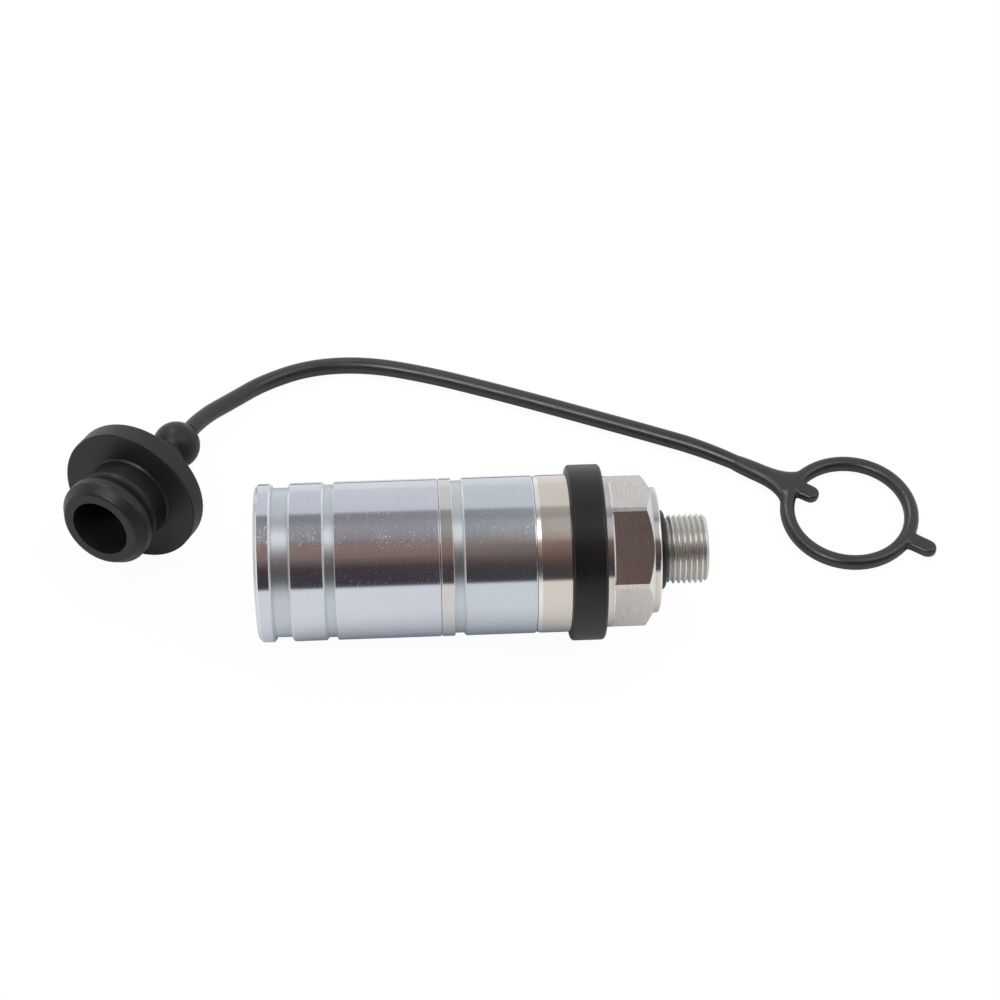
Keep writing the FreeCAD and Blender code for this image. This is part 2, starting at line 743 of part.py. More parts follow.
def make_socket():
    """The sliding tube that takes the male tip, with the ball holes, seal grooves and valve seat."""
    groove = d.tip_groove_start
    groove_end = groove + d.tip_groove_width
    throat = d.tip_bore_end + d.throat_length
    tail_groove_end = d.tail_groove_start + d.tail_groove_width
    guide_end = d.guide_station + d.guide_length
    clip_end = guide_end + d.clip_thickness + d.clip_side_gap * 2
    tail_clip_end = d.tail_clip_station + d.clip_thickness + d.clip_side_gap * 2
    relief = d.ball_radius + d.ball_relief_margin
    body = turned(
        "socket",
        [
            (d.socket_front, d.tip_bore_radius + d.tip_lead),
            (d.socket_front, d.socket_radius - d.socket_bevel),
            (d.socket_front + d.socket_bevel, d.socket_radius),
            (d.collar_end, d.socket_radius),
            (d.collar_end, d.tail_radius),
            (d.tail_groove_start, d.tail_radius),
            (d.tail_groove_start, d.tail_radius - d.tail_groove_depth),
            (tail_groove_end, d.tail_radius - d.tail_groove_depth),
            (tail_groove_end, d.tail_radius),
            (d.rear_tail_start, d.tail_radius),
            (d.rear_tail_start, d.rear_tail_radius),
            (d.tail_clip_station, d.rear_tail_radius),
            (d.tail_clip_station, d.rear_tail_radius - d.tail_clip_depth),
            (tail_clip_end, d.rear_tail_radius - d.tail_clip_depth),
            (tail_clip_end, d.rear_tail_radius),
            (d.tail_end, d.rear_tail_radius),
            (d.tail_end, d.guide_radius),
            (clip_end, d.guide_radius),
            (clip_end, d.guide_radius + d.inner_clip_depth),
            (guide_end, d.guide_radius + d.inner_clip_depth),
            (guide_end, d.guide_radius),
            (d.guide_station, d.guide_radius),
            (d.guide_station, d.valve_bore_radius),
            (throat + d.valve_seat_length, d.valve_bore_radius),
            (throat, d.throat_radius),
            (d.tip_bore_end, d.throat_radius),
            (d.tip_bore_end, d.tip_bore_radius),
            (groove_end, d.tip_bore_radius),
            (groove_end, d.tip_bore_radius + d.tip_groove_depth),
            (groove, d.tip_bore_radius + d.tip_groove_depth),
            (groove, d.tip_bore_radius),
            (d.ball_station + relief, d.tip_bore_radius),
            (d.ball_station + relief, ball_bore_radius()),
            (d.ball_station - relief, ball_bore_radius()),
            (d.ball_station - relief, d.tip_bore_radius),
            (d.socket_front + d.tip_lead, d.tip_bore_radius),
        ],
    )
    bore_ball_holes(body)
    return body


def ball_pitch_radius():
    """Radius of the ball centres when the sleeve's land holds them in."""
    return guide_bore() - d.ball_land_clearance - d.ball_radius


def ball_bore_radius():
    """Radius of the bore's shallow relief, in which the ball holes end."""
    return d.tip_bore_radius + d.ball_relief_depth


def bore_ball_holes(body):
    """Radial holes that narrow inwards, so that the balls show in the bore but can't fall in."""
    hole = d.ball_radius + d.ball_hole_clearance
    bore = ball_bore_radius()
    lip_drop = ball_pitch_radius() - bore
    lip_reach = d.ball_radius + d.ball_hole_clearance / 2
    lip = (lip_reach * lip_reach - lip_drop * lip_drop).root()
    below = bore - d.tip_lead
    sketch = new_sketch(body, "XY_Plane", "ball_hole")
    closed_outline(
        sketch,
        [
            (d.ball_station, below),
            (d.ball_station + lip, below),
            (d.ball_station + lip, bore),
            (d.ball_station + hole, bore + hole - lip),
            (d.ball_station + hole, d.socket_radius + d.tip_lead),
            (d.ball_station, d.socket_radius + d.tip_lead),
        ],
    )
    before = body.Shape.Volume
    groove = body.newObject("PartDesign::Groove", "socket_ball_hole_cut")
    groove.Profile = sketch
    groove.ReferenceAxis = (sketch, ["Edge6"])
    groove.Angle = 360.0
    doc.recompute()
    cut_check(body, before)
    repeat_round(body, groove, d.ball_count, "ball_holes")


def make_locking_balls():
    """The steel balls, one solid each, in one group."""
    balls = []
    count = int(SIZES["ball_count"])
    for k in range(count):
        angle = 2 * math.pi * k / count
        ball = doc.addObject("Part::Sphere", "locking_ball_%d" % (k + 1))
        bind(ball, "Radius", d.ball_radius)
        bind(ball, "Placement.Base.x", d.ball_station - PORT_STATION)
        bind(ball, "Placement.Base.y", ball_pitch_radius() * math.cos(angle))
        bind(ball, "Placement.Base.z", ball_pitch_radius() * math.sin(angle))
        balls.append(ball)
    group = doc.addObject("Part::Compound", "locking_balls")
    group.Label = "locking_balls"
    group.Links = balls
    SUBPARTS["locking_balls"] = group


def seat_slope():
    """Rise of the valve seat's cone for each millimetre along the axis."""
    return (d.valve_bore_radius - d.throat_radius) / d.valve_seat_length


def poppet_cone(radius):
    """Station at which the poppet's cone has a radius, its gap to the seat taken off."""
    throat = d.tip_bore_end + d.throat_length
    return throat + d.poppet_seat_gap + (radius - d.throat_radius) / seat_slope()


def poppet_back_station():
    """Station of the poppet's back, which its spring pushes on."""
    return poppet_cone(d.poppet_head_radius) + d.poppet_rim_length + d.poppet_back_length


def seal_wedge():
    """The three corners of the bonded seal in the poppet's cone."""
    front = poppet_cone(d.poppet_seal_inner)
    rear = front + d.poppet_seal_length
    outer = d.poppet_seal_inner + d.poppet_seal_length * seat_slope()
    return (front, d.poppet_seal_inner), (rear, d.poppet_seal_inner), (rear, outer)


def make_poppet():
    """The valve's poppet: nose that the male tip pushes, cone with its seal, and guide stem."""
    wedge = seal_wedge()
    step = poppet_cone(d.poppet_front_radius)
    nose = step - d.poppet_nose_length
    rim = poppet_cone(d.poppet_head_radius)
    turned(
        "poppet",
        [
            (nose, Size.of(0)),
            (nose, d.poppet_nose_radius - d.socket_bevel),
            (nose + d.socket_bevel, d.poppet_nose_radius),
            (step, d.poppet_nose_radius),
            (step, d.poppet_front_radius),
            wedge[0],
            wedge[1],
            wedge[2],
            (rim, d.poppet_head_radius),
            (rim + d.poppet_rim_length, d.poppet_head_radius),
            (poppet_back_station(), d.poppet_back_radius),
            (poppet_back_station(), d.poppet_stem_radius),
            (d.poppet_stem_end - d.socket_bevel, d.poppet_stem_radius),
            (d.poppet_stem_end, d.poppet_stem_radius - d.socket_bevel),
            (d.poppet_stem_end, Size.of(0)),
        ],
    )
    turned("poppet_seal", list(wedge))


def make_valve_guide():
    """The spider that carries the poppet's stem and spring, with three openings for the oil."""
    start = d.guide_station
    end = start + d.guide_length
    bore = d.poppet_stem_radius + d.running_clearance
    body = turned(
        "valve_guide",
        [
            (start, bore),
            (end, bore),
            (end, d.guide_radius - d.thread_clearance),
            (start, d.guide_radius - d.thread_clearance),
        ],
    )
    sketch = new_sketch(body, "YZ_Plane", "opening")
    bind(sketch, "AttachmentOffset.Base.z", start)
    kidney(sketch, d.guide_hub_radius, d.guide_rim_radius, d.guide_opening_half_angle)
    cut = pocket(body, sketch, d.guide_length, "opening_cut", reverse=True)
    repeat_round(body, cut, d.guide_opening_count, "openings")


def kidney(sketch, inner, outer, half_turn):
    """A ring sector about the sketch's X axis, with two arcs and two radial ends."""
    small, large = inner.value, outer.value
    half_angle = math.radians(half_turn.value)
    middle = FreeCAD.Vector()
    up = FreeCAD.Vector(0, 0, 1)
    small_circle = Part.Circle(middle, up, small)
    large_circle = Part.Circle(middle, up, large)
    low = sketch.addGeometry(Part.ArcOfCircle(small_circle, -half_angle, half_angle), False)
    high = sketch.addGeometry(Part.ArcOfCircle(large_circle, -half_angle, half_angle), False)

    def spot(radius, side):
        return FreeCAD.Vector(radius * math.cos(half_angle), side * radius * math.sin(half_angle), 0)

    first = sketch.addGeometry(Part.LineSegment(spot(small, -1), spot(large, -1)), False)
    second = sketch.addGeometry(Part.LineSegment(spot(small, 1), spot(large, 1)), False)
    for arc in (low, high):
        sketch.addConstraint(Sketcher.Constraint("Coincident", arc, 3, -1, 1))
    for line, end in ((first, 1), (second, 2)):
        sketch.addConstraint(Sketcher.Constraint("Coincident", line, 1, low, end))
        sketch.addConstraint(Sketcher.Constraint("Coincident", line, 2, high, end))
    for arc, size in ((low, inner), (high, outer)):
        held = sketch.addConstraint(Sketcher.Constraint("Radius", arc, size.value))
        bind(sketch, "Constraints[%d]" % held, size)
    for line, side in ((first, -1), (second, 1)):
        held = sketch.addConstraint(Sketcher.Constraint("Angle", line, side * half_angle))
        bind(sketch, "Constraints[%d]" % held, half_turn * side)
    sketch.addConstraint(Sketcher.Constraint("PointOnObject", -1, 1, second))


def make_rings_and_washers():
    """Retaining rings in their grooves, and the two washers that the springs push on."""
    guide_end = d.guide_station + d.guide_length
    inner_top = d.guide_radius + d.inner_clip_depth - d.clip_side_gap
    clip_ring("guide_clip", guide_end + d.clip_side_gap, inner_top - d.inner_clip_height, inner_top)
    groove = d.collar_end + d.seat_gap + d.sleeve_clip_land
    foot = d.tube_radius - d.sleeve_clip_depth + d.clip_side_gap
    clip_ring("sleeve_clip", groove + d.clip_side_gap, foot, foot + d.sleeve_clip_height)
    groove_end = groove + d.clip_thickness + d.clip_side_gap * 2
    flat_ring(
        "sleeve_spring_washer",
        groove_end,
        d.washer_thickness,
        d.tube_radius + d.running_clearance,
        d.spring_room_radius - d.seat_gap,
    )
    tail_foot = d.rear_tail_radius - d.tail_clip_depth + d.clip_side_gap
    clip_ring("socket_clip", d.tail_clip_station + d.clip_side_gap, tail_foot, tail_foot + d.tail_clip_height)
    flat_ring(
        "socket_spring_washer",
        d.tail_clip_station - d.washer_thickness,
        d.washer_thickness,
        d.rear_tail_radius + d.running_clearance,
        d.chamber_radius - d.seat_gap * 2,
    )


def make_springs():
    """Poppet spring, sleeve return spring and socket return spring."""
    coil_spring(
        "poppet_spring",
        poppet_back_station(),
        d.guide_station,
        d.poppet_spring_radius,
        d.poppet_wire,
        d.poppet_spring_turns,
    )
    groove = d.collar_end + d.seat_gap + d.sleeve_clip_land
    washer_end = groove + d.clip_thickness + d.clip_side_gap * 2 + d.washer_thickness
    coil_spring(
        "sleeve_spring",
        washer_end,
        d.spring_seat_station,
        d.sleeve_spring_radius,
        d.sleeve_wire,
        d.sleeve_spring_turns,
    )
    coil_spring(
        "socket_spring",
        d.chamber_start,
        d.tail_clip_station - d.washer_thickness,
        d.socket_spring_radius,
        d.socket_wire,
        d.socket_spring_turns,
    )


def make_seals():
    """O-rings and their backup rings, each on the floor of its own groove."""
    tip_floor = d.tip_bore_radius + d.tip_groove_depth
    tip_middle = d.tip_groove_start + d.seat_gap + d.tip_seal_section / 2
    o_ring("tip_seal", tip_middle, tip_floor - d.tip_seal_section / 2, d.tip_seal_section)
    tip_backup = d.tip_groove_start + d.tip_groove_width - d.backup_width
    flat_ring("tip_backup_ring", tip_backup, d.backup_width, d.tip_bore_radius + d.seat_gap, tip_floor)
    tail_floor = d.tail_radius - d.tail_groove_depth
    tail_end = d.tail_groove_start + d.tail_groove_width
    tail_middle = tail_end - d.seat_gap - d.tail_seal_section / 2
    o_ring("socket_seal", tail_middle, tail_floor + d.tail_seal_section / 2, d.tail_seal_section)
    flat_ring("socket_backup_ring", d.tail_groove_start, d.backup_width, tail_floor, d.tail_radius)
    spigot = d.body_tube_end - d.adapter_thread_length
    adapter_middle = spigot + d.adapter_groove_offset + d.adapter_groove_width / 2
    adapter_floor = d.adapter_thread_radius - d.adapter_groove_depth
    o_ring("adapter_seal", adapter_middle, adapter_floor + d.adapter_seal_section / 2, d.adapter_seal_section)
    port_middle = PORT_STATION - d.port_recess_depth + d.port_seal_section / 2
    o_ring("port_seal", port_middle, d.undercut_radius + d.port_seal_section / 2, d.port_seal_section)


def make_rubber_band():
    """The wide rubber band that covers the joint between body tube and port adapter."""
    start = d.band_seat_start + d.band_gap
    end = d.band_seat_start + d.band_seat_width - d.band_gap
    body = turned(
        "rubber_band",
        [
            (start, d.band_seat_radius),
            (start, d.band_radius),
            (end, d.band_radius),
            (end, d.band_seat_radius),
        ],
    )
    dress_edges(body, "Fillet", [(start, d.band_radius), (end, d.band_radius)], d.band_round, "rim_round")


def plug_axis():
    """Unit vector along the dust plug, from its knob to its nose."""
    azimuth = math.radians(SIZES["plug_azimuth"])
    tilt = math.radians(SIZES["plug_tilt"])
    return FreeCAD.Vector(
        math.cos(azimuth) * math.cos(tilt),
        math.sin(azimuth) * math.cos(tilt),
        math.sin(tilt),
    )


def plug_centre():
    """Centre of the flange's front, at the height at which its rear rim lies on the ground."""
    tilt = math.radians(SIZES["plug_tilt"])
    rounding = SIZES["flange_round"]
    drop = (SIZES["flange_radius"] - rounding) * math.cos(tilt)
    drop += (SIZES["flange_thickness"] - rounding) * math.sin(tilt) + rounding
    return FreeCAD.Vector(SIZES["plug_x"], SIZES["plug_y"], drop - d.band_radius.value)


def knob_boss_end():
    """Where the tether leaves the knob."""
    return plug_centre() - plug_axis() * (SIZES["knob_station"] + SIZES["knob_boss_length"])


def make_dust_plug():
    """Rubber plug in one moulding: hollow nose, flange, neck and ball knob."""
    body = doc.addObject("PartDesign::Body", "dust_plug")
    body.Label = "dust_plug"
    SUBPARTS["dust_plug"] = body
    sketch = new_sketch(body, "XY_Plane", "outline")
    back = -d.flange_thickness
    closed_outline(
        sketch,
        [
            (back - d.neck_base_radius, Size.of(0)),
            (back - d.neck_base_radius, d.neck_end_radius),
            (back, d.neck_base_radius),
            (back, d.flange_radius),
            (Size.of(0), d.flange_radius),
            (Size.of(0), d.nose_foot_radius),
            (d.nose_foot_height, d.nose_foot_radius),
            (d.nose_foot_height, d.nose_neck_radius),
            (d.nose_swell_start, d.nose_neck_radius),
            (d.nose_lip_station - d.nose_round, d.nose_lip_radius),
            (d.nose_lip_station + d.nose_round, d.nose_lip_radius),
            (d.nose_length, d.nose_face_radius),
            (d.nose_length, d.nose_hole_radius),
            (d.nose_length - d.nose_hole_depth, d.nose_hole_radius),
            (d.nose_length - d.nose_hole_depth, Size.of(0)),
        ],
    )
    turn = body.newObject("PartDesign::Revolution", "dust_plug_turn")
    turn.Profile = sketch
    turn.ReferenceAxis = (sketch, ["H_Axis"])
    turn.Angle = 360.0
    doc.recompute()
    rims = [(Size.of(0), d.flange_radius), (back, d.flange_radius)]
    dress_edges(body, "Fillet", rims, d.flange_round, "flange_round")
    lip = [
        (d.nose_lip_station - d.nose_round, d.nose_lip_radius),
        (d.nose_lip_station + d.nose_round, d.nose_lip_radius),
        (d.nose_length, d.nose_face_radius),
    ]
    dress_edges(body, "Fillet", lip, d.nose_round, "lip_round")
    add_knob(body)
    turn_x = FreeCAD.Rotation(FreeCAD.Vector(1, 0, 0), plug_axis())
    body.Placement = FreeCAD.Placement(plug_centre(), turn_x)


def add_knob(body):
    """The neck behind the flange, the ball on it and the boss that the tether grows from."""
    back = -d.flange_thickness
    neck = new_sketch(body, "XY_Plane", "neck")
    closed_outline(
        neck,
        [
            (-d.knob_station - d.knob_boss_length, Size.of(0)),
            (-d.knob_station - d.knob_boss_length, d.tether_radius),
            (-d.knob_station - d.knob_radius + d.edge_bevel, d.knob_boss_radius),
            (-d.knob_station, d.knob_boss_radius),
            (-d.knob_station, d.neck_end_radius),
            (back - d.neck_base_radius, d.neck_end_radius),
            (back - d.neck_base_radius, Size.of(0)),
        ],
    )
    turn = body.newObject("PartDesign::Revolution", "dust_plug_neck_turn")
    turn.Profile = neck
    turn.ReferenceAxis = (neck, ["H_Axis"])
    turn.Angle = 360.0
    doc.recompute()
    ball = body.newObject("PartDesign::AdditiveSphere", "dust_plug_knob")
    bind(ball, "Radius", d.knob_radius)
    ball.AttachmentSupport = [(origin_plane(body, "YZ_Plane"), "")]
    ball.MapMode = "FlatFace"
    bind(ball, "AttachmentOffset.Base.z", -d.knob_station)
    doc.recompute()


def loop_point(reach, angle_name, height=0.0):
    """A point in the plane of the tether's ring, at a reach from its centre."""
    angle = math.radians(SIZES[angle_name])
    return FreeCAD.Vector(reach * math.cos(angle), reach * math.sin(angle), height)


def loop_centre():
    """Centre of the tether's ring, which lies flat on the ground."""
    height = SIZES["tether_radius"] - d.band_radius.value
    return FreeCAD.Vector(SIZES["loop_x"], SIZES["loop_y"], height)


def rounded_bar(start, end, width, thickness):
    """A flat bar with round ends between two points in one plane."""
    along = end - start
    along.normalize()
    across = FreeCAD.Vector(-along.y, along.x, 0) * (width / 2)
    arc = Part.Arc(end - across, end + along * (width / 2), end + across).toShape()
    sides = [
        Part.makeLine(start + across, start - across),
        Part.makeLine(start - across, end - across),
        arc,
        Part.makeLine(end + across, start + across),
    ]
    face = Part.Face(Part.Wire(sides))
    face.translate(FreeCAD.Vector(0, 0, -thickness / 2))
    return face.extrude(FreeCAD.Vector(0, 0, thickness))


def ellipse_section(centre, along, half_width, half_height):
    """An ellipse square to a direction in the ring's plane, its long way level."""
    level = FreeCAD.Vector(-along.y, along.x, 0)
    wide = half_width >= half_height
    major = level if wide else FreeCAD.Vector(0, 0, 1)
    long_half, short_half = max(half_width, half_height), min(half_width, half_height)
    if long_half - short_half < 1e-6:
        return Part.Wire(Part.makeCircle(long_half, centre, along))
    minor = along.cross(major)
    curve = Part.Ellipse(centre + major * long_half, centre + minor * short_half, centre)
    return Part.Wire(curve.toShape())


def make_tether_ring():
    """Ring that snaps into the sleeve's front groove, with two grip tabs and the flare to the tether."""
    section = SIZES["loop_section_radius"]
    lift = FreeCAD.Vector(0, 0, section - SIZES["tether_radius"])
    ring = Part.makeTorus(SIZES["loop_radius"], section, lift, FreeCAD.Vector(0, 0, 1))
    half = SIZES["loop_tab_width"] / 2
    foot = SIZES["loop_radius"]
    inner_tip = loop_point(SIZES["loop_tab_inner_reach"] + half, "loop_tab_angle") + lift
    outer_tip = -loop_point(SIZES["loop_tab_outer_reach"] - half, "loop_tab_angle") + lift
    inner = rounded_bar(
        loop_point(foot, "loop_tab_angle") + lift,
        inner_tip,
        SIZES["loop_tab_width"],
        SIZES["loop_tab_thickness"],
    )
    outer = rounded_bar(
        -loop_point(foot, "loop_tab_angle") + lift,
        outer_tip,
        SIZES["loop_tab_width"],
        SIZES["loop_tab_thickness"],
    )
    reach = SIZES["loop_neck_reach"]
    outward = loop_point(1.0, "loop_neck_angle")
    tether = SIZES["tether_radius"]
    flare_width, flare_height = SIZES["loop_flare_half_width"], SIZES["loop_flare_half_height"]
    flare_rise, flare_middle = SIZES["loop_flare_rise"], SIZES["loop_flare_middle_half_width"]
    neck_width = SIZES["loop_neck_half_width"]
    flare = Part.makeLoft(
        [
            ellipse_section(outward * reach, outward, tether, tether),
            ellipse_section(outward * SIZES["loop_neck_middle"], outward, neck_width, tether),
            ellipse_section(outward * (foot + flare_rise) + lift / 2, outward, flare_middle, section),
            ellipse_section(outward * foot + lift, outward, flare_width, flare_height),
        ],
        True,
        False,
    )
    ring_feature = doc.addObject("Part::Feature", "tether_ring")
    ring_feature.Label = "tether_ring"
    ring_feature.Shape = ring.fuse([inner, outer, flare])
    ring_feature.Placement = FreeCAD.Placement(loop_centre(), FreeCAD.Rotation())
    SUBPARTS["tether_ring"] = ring_feature


def rounded_path(points):
    """Straight runs joined by tangent arcs, each as large as its two runs allow."""
    edges = []
    radii = []
    start = points[0]
    for before, corner, after in zip(points, points[1:], points[2:]):
        back = before - corner
        ahead = after - corner
        turn = math.pi - back.getAngle(ahead)
        radius = ARC_SHARE * min(back.Length, ahead.Length) / math.tan(turn / 2)
        radii.append(radius)
        reach = radius * math.tan(turn / 2)
        back.normalize()
        ahead.normalize()
        first = corner + back * reach
        last = corner + ahead * reach
        inward = back + ahead
        inward.normalize()
        middle = corner + inward * (radius / math.cos(turn / 2) - radius)
        edges.append(Part.LineSegment(start, first).toShape())
        edges.append(Part.Arc(first, middle, last).toShape())
        start = last
    edges.append(Part.LineSegment(start, points[-1]).toShape())
    return Part.Wire(edges), radii


def tether_points():
    """The whole route, from the knob's boss to the end of the ring's neck."""
    end = loop_centre() + loop_point(SIZES["loop_neck_reach"], "loop_neck_angle")
    outward = loop_point(1.0, "loop_neck_angle")
    start = knob_boss_end()
    first = start - plug_axis() * FIRST_RUN
    route = [FreeCAD.Vector(*place) for place in TETHER_ROUTE]
    return [start, first] + route + [end + outward * LAST_RUN, end]


def make_tether():
    """The round rubber tether, lying on the ground from the plug's knob to its ring."""
    points = tether_points()
    path, radii = rounded_path(points)
    radius = SIZES["tether_radius"]
    profile = Part.Wire(Part.makeCircle(radius, points[0], points[1] - points[0]))
    tube = path.makePipeShell([profile], True, False)
    feature = doc.addObject("Part::Feature", "tether")
    feature.Label = "tether"
    feature.Shape = tube
    SUBPARTS["tether"] = feature
    expected = math.pi * radius**2 * path.Length
    print("tether length %.1f mm, volume %.1f of %.1f mm3" % (path.Length, tube.Volume, expected))
    print("tether runs", [round((b - a).Length, 1) for a, b in zip(points, points[1:])])
    print("tether radii", [round(r, 1) for r in radii])


def check_and_export():
    """Stop on any failed object or bad solid, then write one file for each piece."""
    doc.recompute()
    failed = [item.Name for item in doc.Objects if {"Invalid", "Error"} & set(item.State)]
    if failed:
        raise ValueError("failed objects: %s" % failed)
    for name, item in SUBPARTS.items():
        shape = item.Shape
        if shape.isNull() or not shape.isValid() or shape.Volume <= 0:
            raise ValueError("%s has no valid solid" % name)
    os.makedirs("parts", exist_ok=True)
    for name, item in SUBPARTS.items():
        item.Shape.exportStep("parts/%s.step" % name)
        box = item.Shape.BoundBox
        values = (name, item.Shape.Volume, box.XMin, box.XMax, box.ZMin)
        print("%-22s %9.1f mm3  x %8.2f %8.2f  z %7.2f" % values)


def main():
    make_front_sleeve()
    make_rear_sleeve()
    make_body_tube()
    make_port_adapter()
    make_socket()
    make_locking_balls()
    make_poppet()
    make_valve_guide()
    make_rings_and_washers()
    make_springs()
    make_seals()
    make_rubber_band()
    make_dust_plug()
    make_tether_ring()
    make_tether()
    check_and_export()


main()
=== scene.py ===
"""Looks of a hydraulic quick coupler that lies on its side, with its rubber dust plug taken off."""

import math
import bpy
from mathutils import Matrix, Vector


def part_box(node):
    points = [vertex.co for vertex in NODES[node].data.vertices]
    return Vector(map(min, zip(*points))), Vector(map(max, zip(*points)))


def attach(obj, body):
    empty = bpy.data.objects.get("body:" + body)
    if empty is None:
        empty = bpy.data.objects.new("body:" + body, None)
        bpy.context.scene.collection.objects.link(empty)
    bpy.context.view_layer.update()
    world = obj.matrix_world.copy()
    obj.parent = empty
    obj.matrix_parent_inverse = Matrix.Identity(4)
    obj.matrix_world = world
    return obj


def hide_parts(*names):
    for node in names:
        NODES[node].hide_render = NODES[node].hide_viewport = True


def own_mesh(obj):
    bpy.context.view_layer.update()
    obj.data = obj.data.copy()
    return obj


bl_info = {
    "name": "Hydraulic Quick Coupler",
    "version": (1, 0, 0),
    "blender": (4, 5, 0),
    "location": "3D View > Sidebar > Coupler",
    "description": "Plated steel, rubber, stud thread and studio for a hydraulic quick coupler",
    "category": "Object",
}

import bmesh
import bpy
import numpy as np
from bpy.props import FloatProperty, FloatVectorProperty, IntProperty, PointerProperty
from mathutils import Matrix, Vector

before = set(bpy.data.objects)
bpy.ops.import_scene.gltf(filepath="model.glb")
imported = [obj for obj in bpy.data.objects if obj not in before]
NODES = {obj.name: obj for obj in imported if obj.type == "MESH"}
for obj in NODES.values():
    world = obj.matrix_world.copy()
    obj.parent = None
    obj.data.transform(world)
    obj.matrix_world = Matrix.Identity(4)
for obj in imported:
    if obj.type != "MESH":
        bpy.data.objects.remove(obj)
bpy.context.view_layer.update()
BAND_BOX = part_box("rubber_band")
STUD_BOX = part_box("port_adapter")

# Control points of the tether's middle line, from the plug's knob to the neck of the ring, in metres.
TETHER_POINTS = (
    (-0.114572, 0.049803, -0.009938),
    (-0.111737, 0.055440, -0.011500),
    (-0.104150, 0.064050, -0.015200),
    (-0.096400, 0.072050, -0.017800),
    (-0.084100, 0.077800, -0.018800),
    (-0.069200, 0.078300, -0.018930),
    (-0.052900, 0.074000, -0.018930),
    (-0.036200, 0.067800, -0.018930),
    (-0.021500, 0.062000, -0.018930),
    (-0.008000, 0.056500, -0.018930),
    (0.004500, 0.051400, -0.018930),
    (0.018180, 0.045626, -0.018930),
    (0.026236, 0.040592, -0.019050),
)

# Share of its thickness that the tether has where it enters the neck of its ring.
TETHER_END_SHARE = 0.9

# Where the neck of the tether's ring begins, which way it leads, and how far it tapers to meet the tether.
NECK_END = (0.024964, 0.041387, -0.019100)
NECK_DIRECTION = (0.848, -0.530, 0.0)
NECK_TAPER = 0.006

# On the dust plug, places along its axis from the flange's front: how far behind it the face may lie,
# where the nose's foot ends and where its lip begins. Then radii: outside the hollow, and on both sides
# of the foot ring.
FACE_SLACK = 0.0001
FOOT_END = 0.0003
LIP_START = 0.0062
OUTSIDE_HOLLOW = 0.0085
FOOT_REACH = (0.0095, 0.0115)

# On the stud: the gap between its core and the thread's root, how deep the turns' ends reach into the
# core, the length over which the first turn rises, and how far the end bevel lies below the root's line.
CORE_GAP = 0.00003
END_DEPTH = 0.0003
RISE_LENGTH = 0.0009
BEVEL_DROP = 0.00002

# Each spring with the body it rides on, the joint that shortens it by that travel, and whether its lower (0)
# or higher (1) end along X stays on its seat.
SPRINGS = (
    ("sleeve_spring", "body", "sleeve_slide", 0.006, 0),
    ("socket_spring", "body", "socket_slide", 0.005, 0),
    ("poppet_spring", "socket", "poppet_slide", 0.005, 1),
)

# In the plating, in metres: half the width of the soft edge of a groove floor or tint, half the width of the
# painted shade line at a joint and of its soft edge, and the heights where a painted cooler reflection comes
# onto the hexagon.
SOFT_EDGE = 0.00004
JOINT_SHADE_REACH = 0.00007
JOINT_SHADE_EDGE = 0.00003
PAINTED_COOL_HEIGHTS = (0.004, 0.017)

# How far the drawn-out gloss is turned from the lathe's lines, as a share of a whole turn.
QUARTER_TURN = 0.25

# What the photographer's room shows in the plated steel: the angle above the front horizon in degrees,
# counted over the top towards the back, and the colour there, at three places along the coupler.
ROOM_LEFT = (
    (13.0, (0.84, 0.85, 0.88)),
    (15.5, (0.062, 0.058, 0.064)),
    (33.0, (0.075, 0.060, 0.068)),
    (43.0, (0.080, 0.058, 0.055)),
    (51.0, (0.187, 0.135, 0.126)),
    (57.2, (0.270, 0.195, 0.168)),
    (58.0, (0.390, 0.310, 0.280)),
    (58.8, (0.300, 0.215, 0.183)),
    (69.0, (0.390, 0.250, 0.193)),
    (78.0, (0.275, 0.190, 0.163)),
    (80.4, (0.240, 0.175, 0.155)),
    (81.6, (0.298, 0.276, 0.262)),
    (87.0, (0.313, 0.291, 0.277)),
    (96.0, (0.348, 0.336, 0.329)),
    (106.0, (0.390, 0.370, 0.390)),
    (116.0, (0.325, 0.318, 0.313)),
    (124.0, (0.330, 0.325, 0.330)),
    (128.0, (0.80, 0.82, 0.85)),
    (178.0, (0.86, 0.88, 0.90)),
)
ROOM_MIDDLE = (
    (13.0, (0.86, 0.87, 0.88)),
    (15.5, (0.085, 0.080, 0.088)),
    (29.0, (0.089, 0.082, 0.090)),
    (38.0, (0.120, 0.095, 0.095)),
    (46.0, (0.212, 0.143, 0.130)),
    (55.0, (0.260, 0.200, 0.181)),
    (64.0, (0.310, 0.236, 0.219)),
    (73.0, (0.376, 0.302, 0.276)),
    (82.0, (0.428, 0.390, 0.382)),
    (92.0, (0.508, 0.485, 0.487)),
    (103.0, (0.456, 0.457, 0.453)),
    (122.0, (0.450, 0.450, 0.450)),
    (127.0, (0.90, 0.90, 0.88)),
    (178.0, (0.93, 0.93, 0.91)),
)
ROOM_RIGHT = (
    (13.0, (0.90, 0.90, 0.88)),
    (15.5, (0.075, 0.072, 0.078)),
    (45.0, (0.085, 0.078, 0.082)),
    (52.0, (0.080, 0.056, 0.056)),
    (62.0, (0.104, 0.070, 0.073)),
    (70.0, (0.130, 0.092, 0.088)),
    (75.0, (0.90, 0.90, 0.90)),
    (106.0, (0.95, 0.95, 0.95)),
    (108.5, (0.35, 0.35, 0.34)),
    (112.0, (0.40, 0.40, 0.39)),
    (118.0, (0.88, 0.88, 0.86)),
    (178.0, (0.93, 0.93, 0.91)),
)
HALF_TURN = 180.0
WHITE = (1.0, 1.0, 1.0)
LILAC_WHITE = (1.0, 0.98, 1.0)

# Where along the coupler the room blends from the left bands to the middle ones, and from those to the right.
LEFT_BLEND = (-0.07, 0.09)
RIGHT_BLEND = (0.13, 0.22)

